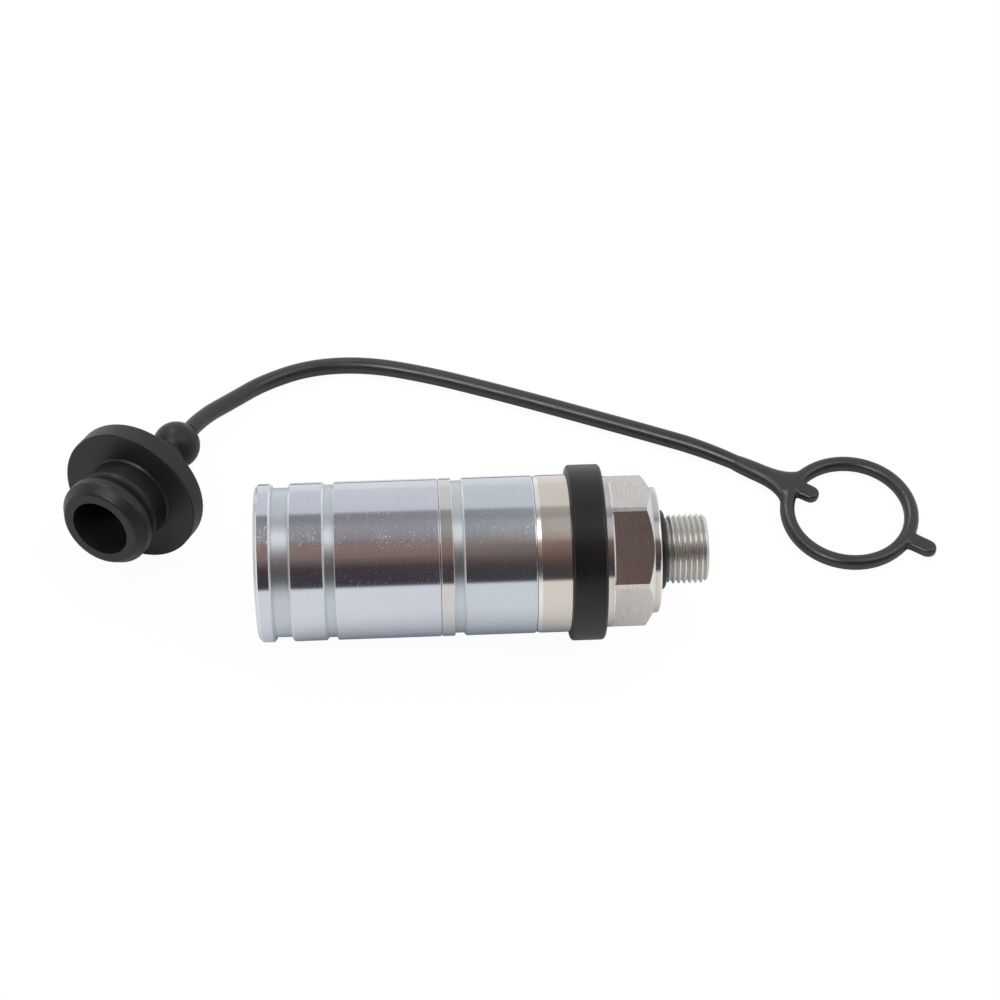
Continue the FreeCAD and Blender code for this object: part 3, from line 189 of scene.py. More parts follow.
# Two bright patches in the room, like lamps high at both sides: their angles, their places along the
# coupler and how bright they are.
PATCH_ANGLES = (76.0, 106.0)
PATCH_PLACES = ((0.38, 2.2), (-1.5, -0.42))
PATCH_STRENGTH = 2.4

# The point that the lamps look at.
LAMP_AIM = (-0.03, 0.01, 0.0)


class StudioSettings(bpy.types.PropertyGroup):
    camera_place: FloatVectorProperty(
        name="Camera place", description="Where the camera stands", size=3,
        subtype="TRANSLATION", unit="LENGTH", default=(-0.0597, -0.332, 0.4539))
    camera_yaw: FloatProperty(
        name="Camera yaw", description="Turn of the view to the right of +Y",
        subtype="ANGLE", default=math.radians(3.76))
    camera_drop: FloatProperty(
        name="Camera drop", description="How far the view looks down",
        subtype="ANGLE", default=math.radians(52.41))
    camera_roll: FloatProperty(
        name="Camera roll", description="Roll of the camera about its view",
        subtype="ANGLE", default=math.radians(1.09))
    focal_length: FloatProperty(
        name="Focal length", description="Focal length on a 36 mm sensor",
        unit="CAMERA", default=84.2)
    floor_size: FloatProperty(
        name="Floor size", description="Side of the floor", unit="LENGTH", default=9.0)
    room_radius: FloatProperty(
        name="Room radius", description="Distance of the room that the steel reflects",
        unit="LENGTH", default=1.8)
    room_length: FloatProperty(
        name="Room length", description="Length of that room along the coupler",
        unit="LENGTH", default=9.0)
    floor_glow: FloatProperty(
        name="Floor glow", description="Share of the floor's white that it gives by itself",
        subtype="FACTOR", min=0.0, max=1.0, default=0.88)
    shadow_reach: FloatProperty(
        name="Shadow reach", description="How far the coupler darkens the floor that its steel reflects",
        unit="LENGTH", default=0.06)


class PlatingSettings(bpy.types.PropertyGroup):
    sleeve_colour: FloatVectorProperty(
        name="Sleeve colour", description="Zinc with a blue passivation", size=3,
        subtype="COLOR", default=(0.600, 0.622, 0.690))
    rear_colour: FloatVectorProperty(
        name="Rear sleeve colour", description="Zinc of the sleeve's rear half", size=3,
        subtype="COLOR", default=(0.555, 0.600, 0.655))
    body_colour: FloatVectorProperty(
        name="Body colour", description="Zinc with a warm tint", size=3,
        subtype="COLOR", default=(0.645, 0.600, 0.550))
    groove_colour: FloatVectorProperty(
        name="Groove colour", description="Thicker passivation in the grooves", size=3,
        subtype="COLOR", default=(0.575, 0.625, 0.660))
    # Bright metal for the real nicks and scratches, and also the colour of the painted glint on the bevels.
    wear_and_glint_colour: FloatVectorProperty(
        name="Worn colour", description="Bright metal of the worn bevels and of nicks", size=3,
        subtype="COLOR", default=(0.93, 0.93, 0.94))
    roughness: FloatProperty(
        name="Roughness", description="Roughness of the plated steel",
        subtype="FACTOR", min=0.0, max=1.0, default=0.13)
    lines: FloatProperty(
        name="Turning lines", description="How deep the lathe's lines are",
        subtype="DISTANCE", default=0.0000012)
    # How far the bevels turn bright: a painted glint, not wear.
    bevel_glint: FloatProperty(
        name="Bevel wear", description="How bright the worn bevels are",
        subtype="FACTOR", min=0.0, max=1.0, default=0.60)
    # Darker colour between the thread's crests: dirt, and painted shade in the roots.
    root_dirt_and_shade_colour: FloatVectorProperty(
        name="Thread root colour", description="Dull, dirty plating between the thread's crests", size=3,
        subtype="COLOR", default=(0.40, 0.36, 0.27))
    groove_roughness: FloatProperty(
        name="Groove roughness", description="Roughness of the unpolished groove floors",
        subtype="FACTOR", min=0.0, max=1.0, default=0.40)
    brushing: FloatProperty(
        name="Brushing", description="How much the lathe's lines draw the gloss out along the axis",
        subtype="FACTOR", min=0.0, max=1.0, default=0.6)


class RubberSettings(bpy.types.PropertyGroup):
    colour: FloatVectorProperty(
        name="Rubber colour", description="Black moulded rubber", size=3,
        subtype="COLOR", default=(0.0150, 0.0128, 0.0155))
    dust_colour: FloatVectorProperty(
        name="Dust colour", description="Pale dust on the rubber", size=3,
        subtype="COLOR", default=(0.20, 0.19, 0.19))
    roughness: FloatProperty(
        name="Roughness", description="Roughness of the rubber",
        subtype="FACTOR", min=0.0, max=1.0, default=0.40)
    tether_diameter: FloatProperty(
        name="Tether diameter", description="Thickness of the tether", unit="LENGTH", default=0.0044)
    ring_growth: FloatProperty(
        name="Ring growth", description="What the rounding takes off the ring and this gives back",
        unit="LENGTH", default=0.00022)
    ring_grain: FloatProperty(
        name="Ring voxel", description="Size of the cells in which the ring's corners are rounded",
        unit="LENGTH", default=0.00032)


class PlugSettings(bpy.types.PropertyGroup):
    centre: FloatVectorProperty(
        name="Flange centre", description="Centre of the front of the plug's flange", size=3,
        subtype="TRANSLATION", unit="LENGTH", default=(-0.1277, 0.0237, -0.0027064))
    axis: FloatVectorProperty(
        name="Axis", description="Direction from the plug's knob to its nose", size=3,
        subtype="DIRECTION", default=(-0.43616, -0.86721, 0.24023))
    neck_radius: FloatProperty(
        name="Neck radius", description="Radius of the nose behind its lip", unit="LENGTH", default=0.0106)
    foot_radius: FloatProperty(
        name="Foot radius", description="Radius of the small ring at the nose's foot",
        unit="LENGTH", default=0.0110)
    parting: FloatVectorProperty(
        name="Mould line", description="Direction across the plane in which the mould's halves met", size=3,
        subtype="DIRECTION", default=(0.3971, 0.0540, 0.9161))
    parting_width: FloatProperty(
        name="Mould line width", description="Width of that fine line", unit="LENGTH", default=0.00018)


class ThreadSettings(bpy.types.PropertyGroup):
    pitch: FloatProperty(
        name="Pitch", description="Pitch of the G 3/8 thread", unit="LENGTH", default=0.001337)
    crest_radius: FloatProperty(
        name="Crest radius", description="Radius over the crests", unit="LENGTH", default=0.008331)
    depth: FloatProperty(
        name="Depth", description="Depth of the thread", unit="LENGTH", default=0.000856)
    start: FloatProperty(
        name="Start", description="Where the thread runs out behind the shoulder",
        unit="LENGTH", default=0.0021)
    first_crest: FloatProperty(
        name="First crest", description="Place of the first whole crest where the angle is zero",
        unit="LENGTH", default=0.00311)
    sides: IntProperty(
        name="Sides", description="Number of steps round the stud", min=16, default=128)
    steps_per_turn: IntProperty(
        name="Steps in a pitch", description="Number of steps along one pitch", min=8, default=24)


class Tree:
    """Adds nodes to one shader tree and wires them."""

    def __init__(self, tree):
        self.tree = tree

    def add(self, kind, inputs=(), **settings):
        node = self.tree.nodes.new("ShaderNode" + kind)
        node.location = (190 * len(self.tree.nodes), 0)
        for name, value in settings.items():
            setattr(node, name, value)
        for key, value in dict(inputs).items():
            if isinstance(value, bpy.types.NodeSocket):
                self.link(value, node.inputs[key])
            else:
                node.inputs[key].default_value = value
        return node

    def link(self, value, socket):
        self.tree.links.new(value, socket)

    def math(self, operation, a, b=0.0, clamp=False):
        return self.add("Math", {0: a, 1: b}, operation=operation, use_clamp=clamp).outputs[0]

    def plus(self, value, mask, amount, clamp=False):
        """The value, and that much more where the mask is 1."""
        return self.math("ADD", value, self.math("MULTIPLY", mask, amount), clamp)

    def vector(self, x, y=0.0, z=0.0):
        return self.add("CombineXYZ", {0: x, 1: y, 2: z}).outputs[0]

    def parts(self, vector):
        """The x, y and z of a vector."""
        return self.add("SeparateXYZ", {0: vector}).outputs

    def vector_math(self, operation, a, b):
        """The result for two vectors, which is a number for their dot product."""
        node = self.add("VectorMath", {0: a, 1: b}, operation=operation)
        return node.outputs["Value" if operation == "DOT_PRODUCT" else "Vector"]

    def remap(self, value, low, high, new_low=0.0, new_high=1.0, smooth=False):
        kind = "SMOOTHSTEP" if smooth else "LINEAR"
        places = {"Value": value, "From Min": low, "From Max": high, "To Min": new_low, "To Max": new_high}
        return self.add("MapRange", places, interpolation_type=kind).outputs["Result"]

    def window(self, value, low, high, soft):
        """1 where the value lies between low and high, and 0 outside, with soft ends."""
        rise = self.remap(value, low - soft, low + soft, smooth=True)
        fall = self.remap(value, high - soft, high + soft, 1.0, 0.0, smooth=True)
        return self.math("MULTIPLY", rise, fall)

    def ramp(self, share, bands, whole):
        """A colour ramp through bands of place and colour, where the whole ramp is that long."""
        node = self.add("ValToRGB", {0: share})
        stops = node.color_ramp.elements
        while len(stops) < len(bands):
            stops.new(1.0)
        for stop, (place, level) in zip(stops, bands):
            stop.position = place / whole
            stop.color = colour(level)
        return node.outputs[0]

    def mix(self, factor, a, b, kind="MIX"):
        node = self.add("Mix", {0: factor, 6: a, 7: b}, data_type="RGBA", blend_type=kind)
        return node.outputs[2]

    def noise(self, vector, scale, detail=2.0, roughness=0.5):
        places = {"Vector": vector, "Scale": scale, "Detail": detail, "Roughness": roughness}
        return self.add("TexNoise", places).outputs["Fac"]

    def group(self, name, **inputs):
        node = self.add("Group", node_tree=bpy.data.node_groups[name])
        for key, value in inputs.items():
            socket = node.inputs[key.replace("_", " ").capitalize()]
            if isinstance(value, bpy.types.NodeSocket):
                self.link(value, socket)
            else:
                socket.default_value = value
        return node.outputs


def colour(values, share=1.0):
    """The colour of a socket, made lighter or darker by that share."""
    return (*[value * share for value in values], 1.0)


def new_group(name, inputs, outputs):
    """An empty shader node group with float inputs and outputs, and the two ends of its tree."""
    group = bpy.data.node_groups.new(name, "ShaderNodeTree")
    for label, value in inputs:
        socket = group.interface.new_socket(label, in_out="INPUT", socket_type="NodeSocketFloat")
        socket.default_value = value
    for label in outputs:
        group.interface.new_socket(label, in_out="OUTPUT", socket_type="NodeSocketFloat")
    tree = Tree(group)
    return tree, tree.add("TexCoord"), group.nodes.new("NodeGroupInput"), group.nodes.new("NodeGroupOutput")


def make_groups():
    """The effects that several finishes share."""
    tree, place, given, result = new_group("Round Place", [], ["Along", "Around", "Radius"])
    xyz = tree.parts(place.outputs["Object"])
    squares = [tree.math("MULTIPLY", xyz[k], xyz[k]) for k in (1, 2)]
    radius = tree.math("SQRT", tree.math("ADD", *squares))
    angle = tree.math("ARCTAN2", xyz[2], xyz[1])
    tree.link(xyz[0], result.inputs["Along"])
    tree.link(tree.math("MULTIPLY", angle, radius), result.inputs["Around"])
    tree.link(radius, result.inputs["Radius"])

    tree, place, given, result = new_group("Turning Lines", [("Density", 5000.0)], ["Height"])
    round_place = tree.group("Round Place")
    across = [tree.math("MULTIPLY", round_place[k], given.outputs["Density"]) for k in (0, 2)]
    slow = tree.math("MULTIPLY", round_place["Around"], 60.0)
    tree.link(tree.noise(tree.vector(*across, slow), 1.0, 3.0, 0.65), result.inputs["Height"])

    inputs = [("Angle", 0.0), ("Length", 90.0), ("Width", 3500.0), ("Share", 0.3)]
    tree, place, given, result = new_group("Scratches", inputs, ["Mask"])
    round_place = tree.group("Round Place")
    flat = tree.vector(round_place["Along"], round_place["Around"])
    turning = {"Vector": flat, "Angle": given.outputs["Angle"]}
    turned = tree.add("VectorRotate", turning, rotation_type="Z_AXIS").outputs[0]
    stretch = tree.vector(given.outputs["Length"], given.outputs["Width"], 1.0)
    scaled = tree.vector_math("MULTIPLY", turned, stretch)
    edge = tree.math("SUBTRACT", 0.82, tree.math("MULTIPLY", given.outputs["Share"], 0.2))
    line = tree.remap(tree.noise(scaled, 1.0, 1.0), edge, tree.math("ADD", edge, 0.04))
    tree.link(line, result.inputs["Mask"])

    inputs = [("Scale", 900.0), ("Size", 0.2), ("Share", 0.1)]
    tree, place, given, result = new_group("Specks", inputs, ["Mask"])
    ragged = tree.add("TexNoise", {"Vector": place.outputs["Object"], "Scale": 2400.0}).outputs["Color"]
    ragged = tree.vector_math("MULTIPLY", ragged, (0.0003, 0.0003, 0.0003))
    shifted = tree.vector_math("ADD", place.outputs["Object"], ragged)
    cells = tree.add("TexVoronoi", {"Vector": shifted, "Scale": given.outputs["Scale"]})
    near = tree.math("LESS_THAN", cells.outputs["Distance"], given.outputs["Size"])
    red = tree.add("SeparateColor", {0: cells.outputs["Color"]}).outputs[0]
    swarm = tree.remap(tree.noise(place.outputs["Object"], 130.0, 2.0), 0.42, 0.62, 0.2, 2.6)
    share = tree.math("MULTIPLY", given.outputs["Share"], swarm)
    chosen = tree.math("LESS_THAN", red, share)
    tree.link(tree.math("MULTIPLY", near, chosen), result.inputs["Mask"])

    tree, place, given, result = new_group("Clouds", [("Scale", 120.0), ("Contrast", 1.5)], ["Mask"])
    soft = tree.noise(place.outputs["Object"], given.outputs["Scale"], 4.0, 0.6)
    spread = tree.math("MULTIPLY", tree.math("SUBTRACT", soft, 0.5), given.outputs["Contrast"])
    tree.link(tree.math("ADD", spread, 0.5, clamp=True), result.inputs["Mask"])


def empty_tree(owner):
    """The cleared shader tree of a material or world."""
    owner.use_nodes = True
    owner.node_tree.nodes.clear()
    return Tree(owner.node_tree)


def new_material(name):
    """A material with its Principled shader and its output."""
    material = bpy.data.materials.new(name)
    tree = empty_tree(material)
    shader = tree.add("BsdfPrincipled")
    tree.add("OutputMaterial", {"Surface": shader.outputs[0]})
    return material, tree, shader


def plated_steel(
        name, base, plating, groove_radius=0.0, groove=None, roughness=0.0,
        warm_up_to=-1.0, joint=-1.0, brush=0.0, marks=1.0):
    """Turned steel with zinc plating: lathe lines, uneven tint, scratches, and bevels made bright as a
    painted glint.

    What lies within groove_radius is a rough groove floor. The plating is warmer where x is below
    warm_up_to, painted shade darkens a line at x = joint, brush says how strong the lathe's shading is and
    adds a painted cooler reflection on the upper faces, and marks says how strong the marks of use are.
    """
    material, tree, shader = new_material(name)
    place = tree.group("Round Place")
    clouds = tree.group("Clouds", scale=55.0, contrast=1.6)["Mask"]
    height = tree.group("Turning Lines", density=6500.0)["Height"]
    streaks = tree.group("Turning Lines", density=1900.0)["Height"]
    fine = tree.group("Scratches", angle=1.25, length=140.0, width=5200.0, share=0.40 * marks)["Mask"]
    long = tree.group("Scratches", angle=1.72, length=70.0, width=4200.0, share=0.32 * marks)["Mask"]
    dots = tree.group("Specks", scale=3000.0, size=0.27, share=0.10 * marks)["Mask"]
    nicks = tree.group("Specks", scale=1300.0, size=0.18, share=0.010 * marks)["Mask"]
    coordinates = tree.add("TexCoord").outputs
    sideways = tree.math("ABSOLUTE", tree.parts(coordinates["Normal"])[0])
    bevel = tree.window(sideways, 0.22, 0.96, 0.04)
    in_groove = tree.remap(place["Radius"], groove_radius + SOFT_EDGE, groove_radius - SOFT_EDGE)

    tint = tree.mix(clouds, colour(base, 0.96), colour(base, 1.04))
    warm = tree.remap(place["Along"], warm_up_to + SOFT_EDGE, warm_up_to - SOFT_EDGE)
    tint = tree.mix(tree.math("MULTIPLY", warm, 0.6), tint, colour(plating.body_colour))
    tint = tree.mix(in_groove, tint, colour(groove or plating.groove_colour))
    shade = tree.remap(streaks, 0.25, 0.75, 0.97 - 0.16 * brush, 1.02 + 0.06 * brush)
    tint = tree.mix(1.0, tint, tree.vector(shade, shade, shade), "MULTIPLY")
    lines = tree.math("MAXIMUM", fine, long)
    tint = tree.mix(tree.math("MULTIPLY", lines, 0.50), tint, colour(plating.wear_and_glint_colour))
    bright = tree.math("MAXIMUM", tree.math("MULTIPLY", nicks, 0.85), tree.math("MULTIPLY", dots, 0.3))
    # Painted glint: every bevel is lightened towards the bright colour, as if it caught light.
    bright = tree.math("MAXIMUM", bright, tree.math("MULTIPLY", bevel, plating.bevel_glint))
    tint = tree.mix(bright, tint, colour(plating.wear_and_glint_colour))
    # Painted shade: a dark line at x = joint, where the seam between the parts lies in shadow.
    joint_shade = tree.window(place["Along"], joint - JOINT_SHADE_REACH, joint + JOINT_SHADE_REACH, JOINT_SHADE_EDGE)
    tint = tree.mix(tree.math("MULTIPLY", joint_shade, 0.85), tint, colour((0.05, 0.045, 0.04)))
    if brush:
        # Painted reflection: higher up, the faces are tinted cooler and darker, as the upper flats reflect a
        # cooler light.
        cool_reflection = tree.remap(tree.parts(coordinates["Object"])[2], *PAINTED_COOL_HEIGHTS, smooth=True)
        tint = tree.mix(tree.math("MULTIPLY", cool_reflection, 0.8), tint, colour((0.84, 0.88, 0.97)), "MULTIPLY")
    tree.link(tint, shader.inputs["Base Color"])

    low = plating.roughness + roughness
    rough = tree.remap(streaks, 0.3, 0.7, low, low + 0.025)
    rough = tree.plus(rough, in_groove, plating.groove_roughness - plating.roughness)
    rough = tree.plus(rough, lines, 0.25)
    rough = tree.plus(rough, bevel, 0.12)
    rough = tree.plus(rough, tree.math("MAXIMUM", dots, nicks), 0.30, clamp=True)
    tree.link(rough, shader.inputs["Roughness"])
    bump = tree.add("Bump", {"Strength": 0.6, "Distance": plating.lines, "Height": height})
    tree.link(bump.outputs[0], shader.inputs["Normal"])
    round_axis = tree.add("Tangent", direction_type="RADIAL", axis="X")
    tree.link(round_axis.outputs[0], shader.inputs["Tangent"])
    shader.inputs["Metallic"].default_value = 1.0
    shader.inputs["Anisotropic"].default_value = plating.brushing
    shader.inputs["Anisotropic Rotation"].default_value = QUARTER_TURN
    return material


def plain_metal(name, base, roughness, density):
    """Bare or drawn metal of the inner pieces, with fine lines and clouds."""
    material, tree, shader = new_material(name)
    clouds = tree.group("Clouds", scale=240.0, contrast=1.4)["Mask"]
    height = tree.group("Turning Lines", density=density)["Height"]
    tint = tree.mix(clouds, colour(base, 0.85), colour(base))
    tree.link(tint, shader.inputs["Base Color"])
    rough = tree.plus(roughness, height, 0.12)
    tree.link(rough, shader.inputs["Roughness"])
    bump = tree.add("Bump", {"Strength": 0.4, "Distance": 0.000002, "Height": height})
    tree.link(bump.outputs[0], shader.inputs["Normal"])
    shader.inputs["Metallic"].default_value = 1.0
    return material


def rubber(name, settings, dust=0.03, grain=1.0, darkness=1.0, extra_roughness=0.0, gloss=0.4):
    """Black moulded rubber with a fine grain, a cloudy sheen and pale dust."""
    material, tree, shader = new_material(name)
    place = tree.add("TexCoord").outputs["Object"]
    clouds = tree.group("Clouds", scale=90.0, contrast=2.0)["Mask"]
    specks = tree.group("Specks", scale=2100.0, size=0.2, share=dust)["Mask"]
    tint = tree.mix(clouds, colour(settings.colour, 0.8 * darkness), colour(settings.colour, 1.25 * darkness))
    tint = tree.mix(tree.math("MULTIPLY", specks, 0.5), tint, colour(settings.dust_colour))
    tree.link(tint, shader.inputs["Base Color"])
    low = settings.roughness + extra_roughness
    rough = tree.remap(clouds, 0.0, 1.0, low - 0.05, low + 0.08)
    tree.link(rough, shader.inputs["Roughness"])
    texture = tree.noise(place, 2600.0, 3.0, 0.6)
    bump = tree.add("Bump", {"Strength": 0.35 * grain, "Distance": 0.00002, "Height": texture})
    tree.link(bump.outputs[0], shader.inputs["Normal"])
    shader.inputs["IOR"].default_value = 1.5
    shader.inputs["Specular IOR Level"].default_value = gloss
    return material


def soft_plastic(name, base, roughness):
    """White plastic of the back-up rings."""
    material, tree, shader = new_material(name)
    clouds = tree.group("Clouds", scale=300.0, contrast=1.2)["Mask"]
    tint = tree.mix(clouds, colour(base, 0.9), colour(base))
    tree.link(tint, shader.inputs["Base Color"])
    rough = tree.remap(clouds, 0.0, 1.0, roughness, roughness + 0.1)
    tree.link(rough, shader.inputs["Roughness"])
    return material


def light_rubber(*pieces):
    """Lets the lamps for rubber light these pieces too."""
    for piece in pieces:
        bpy.data.collections["rubber_pieces"].objects.link(piece)


def finish_with(names, material):
    """Puts one material on each of these CAD nodes."""
    for name in names:
        slots = NODES[name].data.materials
        slots.clear()
        slots.append(material)


def new_object(name, mesh):
    piece = bpy.data.objects.new(name, mesh)
    bpy.context.scene.collection.objects.link(piece)
    return piece


def look_along(place, forward, roll=0.0):
    """The matrix of a camera or lamp at a place that looks along forward."""
    forward = Vector(forward).normalized()
    right = forward.cross(Vector((0, 0, 1))).normalized()
    up = right.cross(forward)
    turned_right = math.cos(roll) * right + math.sin(roll) * up
    turned_up = math.cos(roll) * up - math.sin(roll) * right
    matrix = Matrix((turned_right, turned_up, -forward)).transposed().to_4x4()
    matrix.translation = Vector(place)
    return matrix


def add_lamp(name, place, size, power, tint, in_gloss=True, only_on=None):
    """A soft square lamp that looks at the coupler, and may light only some of its pieces."""
    data = bpy.data.lights.new(name, "AREA")
    data.shape = "SQUARE"
    data.size = size
    data.energy = power
    data.color = tint
    lamp = new_object(name, data)
    lamp.matrix_world = look_along(place, Vector(LAMP_AIM) - Vector(place))
    lamp.visible_camera = False
    lamp.visible_glossy = in_gloss
    lamp.light_linking.receiver_collection = only_on


class COUPLER_OT_stage(bpy.types.Operator):
    """Add the camera, the floor, the room that the steel reflects, the lamps and the white world"""

    bl_idname = "coupler.stage"
    bl_label = "Stage"

    def execute(self, context):
        scene = context.scene
        studio = scene.coupler_studio
        scene.view_settings.view_transform = "Standard"
        self.add_camera(scene, studio)
        self.add_floor(studio)
        self.add_room(studio)
        self.light_world(scene)
        add_lamp("top_lamp", (0.1, 0.3, 1.5), 1.0, 2.8, (1.0, 0.99, 0.97), in_gloss=False)
        rubber_pieces = bpy.data.collections.new("rubber_pieces")
        add_lamp("key_lamp", (-0.62, -0.74, 1.52), 0.28, 10.0, LILAC_WHITE, only_on=rubber_pieces)
        add_lamp("back_lamp", (-0.50, 1.08, 1.36), 0.30, 5.0, LILAC_WHITE, only_on=rubber_pieces)
        add_lamp("right_softbox", (0.92, -0.22, 0.9), 0.42, 1.6, WHITE, in_gloss=False)
        add_lamp("left_softbox", (-1.0, 0.75, 0.32), 0.45, 1.4, WHITE, in_gloss=False)
        return {"FINISHED"}

    def add_camera(self, scene, studio):
        data = bpy.data.cameras.new("camera")
        data.sensor_width = 36.0
        data.lens = studio.focal_length
        data.clip_start = 0.01
        data.clip_end = 50.0
        camera = new_object("camera", data)
        level = math.cos(studio.camera_drop)
        forward = Vector((
            math.sin(studio.camera_yaw) * level,
            math.cos(studio.camera_yaw) * level,
            -math.sin(studio.camera_drop),
        ))
        camera.matrix_world = look_along(studio.camera_place, forward, studio.camera_roll)
        scene.camera = camera

    def add_floor(self, studio):
        half = studio.floor_size / 2
        height = BAND_BOX[0].z
        mesh = bpy.data.meshes.new("floor")
        corners = [(x * half, y * half, height) for x, y in ((-1, -1), (1, -1), (1, 1), (-1, 1))]
        mesh.from_pydata(corners, [], [(0, 1, 2, 3)])
        floor = new_object("floor", mesh)
        material = bpy.data.materials.new("White Floor")
        tree = empty_tree(material)
        path = tree.add("LightPath").outputs
        seen = tree.math("MAXIMUM", path["Is Camera Ray"], path["Is Transmission Ray"])
        share = tree.math("MAXIMUM", tree.math("MULTIPLY", seen, studio.floor_glow), path["Is Glossy Ray"])
        grain = tree.group("Clouds", scale=30.0, contrast=0.5)["Mask"]
        pale = tree.mix(grain, colour((0.80, 0.80, 0.80)), colour((0.84, 0.84, 0.84)))
        matt = tree.add("BsdfDiffuse", {"Color": pale})
        # Painted shadow: in reflections the floor's glow is darkened near the coupler by ambient occlusion.
        painted_floor_shadow = tree.add("AmbientOcclusion", {"Distance": studio.shadow_reach}, samples=8).outputs["AO"]
        painted_floor_shadow = tree.remap(painted_floor_shadow, 0.32, 0.92)
        reflected_floor = tree.mix(painted_floor_shadow, colour((0.12, 0.15, 0.19)), colour(WHITE))
        tint = tree.mix(path["Is Glossy Ray"], colour(WHITE), reflected_floor)
        strength = tree.remap(path["Is Glossy Ray"], 0.0, 1.0, 1.08, 1.0)
        glow = tree.add("Emission", {"Color": tint, "Strength": strength})
        both = tree.add("MixShader", {0: share, 1: matt.outputs[0], 2: glow.outputs[0]})
        tree.add("OutputMaterial", {"Surface": both.outputs[0]})
        mesh.materials.append(material)

    def add_room(self, studio):
        """Part of a wide tube round the coupler's axis, which only reflections show."""
        angles = np.radians(np.linspace(ROOM_LEFT[0][0], ROOM_LEFT[-1][0], 80))
        half = studio.room_length / 2
        corners = []
        for angle in angles:
            y = -studio.room_radius * math.cos(angle)
            z = studio.room_radius * math.sin(angle)
            corners += [(-half, y, z), (half, y, z)]
        faces = [(2 * k, 2 * k + 1, 2 * k + 3, 2 * k + 2) for k in range(len(angles) - 1)]
        mesh = bpy.data.meshes.new("room")
        mesh.from_pydata(corners, [], faces)
        room = new_object("room", mesh)
        room.visible_camera = False
        room.visible_diffuse = False
        room.visible_shadow = False
        material = bpy.data.materials.new("Room Bands")
        tree = empty_tree(material)
        along, y, z = tree.parts(tree.add("TexCoord").outputs["Object"])
        angle = tree.math("ARCTAN2", z, tree.math("MULTIPLY", y, -1.0))
        share = tree.math("DIVIDE", angle, math.pi, clamp=True)
        rooms = (ROOM_LEFT, ROOM_MIDDLE, ROOM_RIGHT)
        left, middle, right = (tree.ramp(share, bands, HALF_TURN) for bands in rooms)
        level = tree.mix(tree.remap(along, *LEFT_BLEND, smooth=True), left, middle)
        level = tree.mix(tree.remap(along, *RIGHT_BLEND, smooth=True), level, right)
        high = tree.window(tree.math("MULTIPLY", share, HALF_TURN), *PATCH_ANGLES, 3.0)
        ends = tree.math("MAXIMUM", *[tree.window(along, *place, 0.05) for place in PATCH_PLACES])
        lamp = tree.math("MULTIPLY", high, ends)
        level = tree.mix(lamp, level, colour(WHITE))
        strength = tree.remap(lamp, 0.0, 1.0, 1.0, PATCH_STRENGTH)
        glow = tree.add("Emission", {"Color": level, "Strength": strength})
        tree.add("OutputMaterial", {"Surface": glow.outputs[0]})
        mesh.materials.append(material)

    def light_world(self, scene):
        world = bpy.data.worlds.new("White World")
        scene.world = world
        tree = empty_tree(world)
        path = tree.add("LightPath").outputs
        seen = tree.math("MAXIMUM", path["Is Camera Ray"], path["Is Glossy Ray"])
        seen = tree.math("MAXIMUM", seen, path["Is Transmission Ray"])
        white = tree.add("Background", {"Color": colour(WHITE), "Strength": 1.0})
        soft = tree.add("Background", {"Color": colour((0.97, 0.98, 1.0)), "Strength": 0.38})
        both = tree.add("MixShader", {0: seen, 1: soft.outputs[0], 2: white.outputs[0]})
        tree.add("OutputWorld", {"Surface": both.outputs[0]})


class COUPLER_OT_tether(bpy.types.Operator):
    """Add the round rubber tether and finish the ring at its end"""

    bl_idname = "coupler.tether"
    bl_label = "Tether and ring"

    def execute(self, context):
        settings = context.scene.coupler_rubber
        curve = bpy.data.curves.new("rubber_tether", "CURVE")
        curve.dimensions = "3D"
        curve.resolution_u = 16
        curve.bevel_depth = settings.tether_diameter / 2
        curve.bevel_resolution = 10
        curve.use_fill_caps = True
        spline = curve.splines.new("NURBS")
        spline.points.add(len(TETHER_POINTS) - 1)
        for point, place in zip(spline.points, TETHER_POINTS):
            point.co = (*place, 1.0)
        spline.points[-1].radius = TETHER_END_SHARE
        spline.order_u = 3
        spline.use_endpoint_u = True
        tether = new_object("rubber_tether", curve)
        material = rubber("Tether Rubber", settings, dust=0.01, grain=0.25, extra_roughness=-0.06, gloss=0.6)
        curve.materials.append(material)
        ring = self.add_ring(context, settings, material)
        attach(tether, "body")
        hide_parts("tether")
        light_rubber(tether, ring)
        return {"FINISHED"}

    def add_ring(self, context, settings, material):
        """The ring, its neck and its tabs, with the rounded inner corners that a mould gives."""
        ring = new_object("moulded_ring", NODES["tether_ring"].data.copy())
        cells = ring.modifiers.new("round_corners", "REMESH")
        cells.mode = "VOXEL"
        cells.voxel_size = settings.ring_grain
        cells.use_smooth_shade = True
        smooth = ring.modifiers.new("smooth", "SMOOTH")
        smooth.factor = 0.5
        smooth.iterations = 36
        fuller = ring.modifiers.new("fuller", "DISPLACE")
        fuller.strength = settings.ring_growth
        fuller.mid_level = 0.0
        graph = context.evaluated_depsgraph_get()
        rounded = bpy.data.meshes.new_from_object(ring.evaluated_get(graph), depsgraph=graph)
        ring.modifiers.clear()
        start = Vector(NECK_END)
        onward = Vector(NECK_DIRECTION).normalized()
        for vertex in rounded.vertices:
            reach = (vertex.co - start).dot(onward)
            if reach < NECK_TAPER:
                middle = start + onward * reach
                share = TETHER_END_SHARE + (1.0 - TETHER_END_SHARE) * max(0.0, reach) / NECK_TAPER
                vertex.co = middle + (vertex.co - middle) * share
            vertex.co.z = max(vertex.co.z, BAND_BOX[0].z)
        ring.data = rounded
        rounded.materials.clear()
        rounded.materials.append(material)
        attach(ring, "body")
        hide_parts("tether_ring")
        return ring


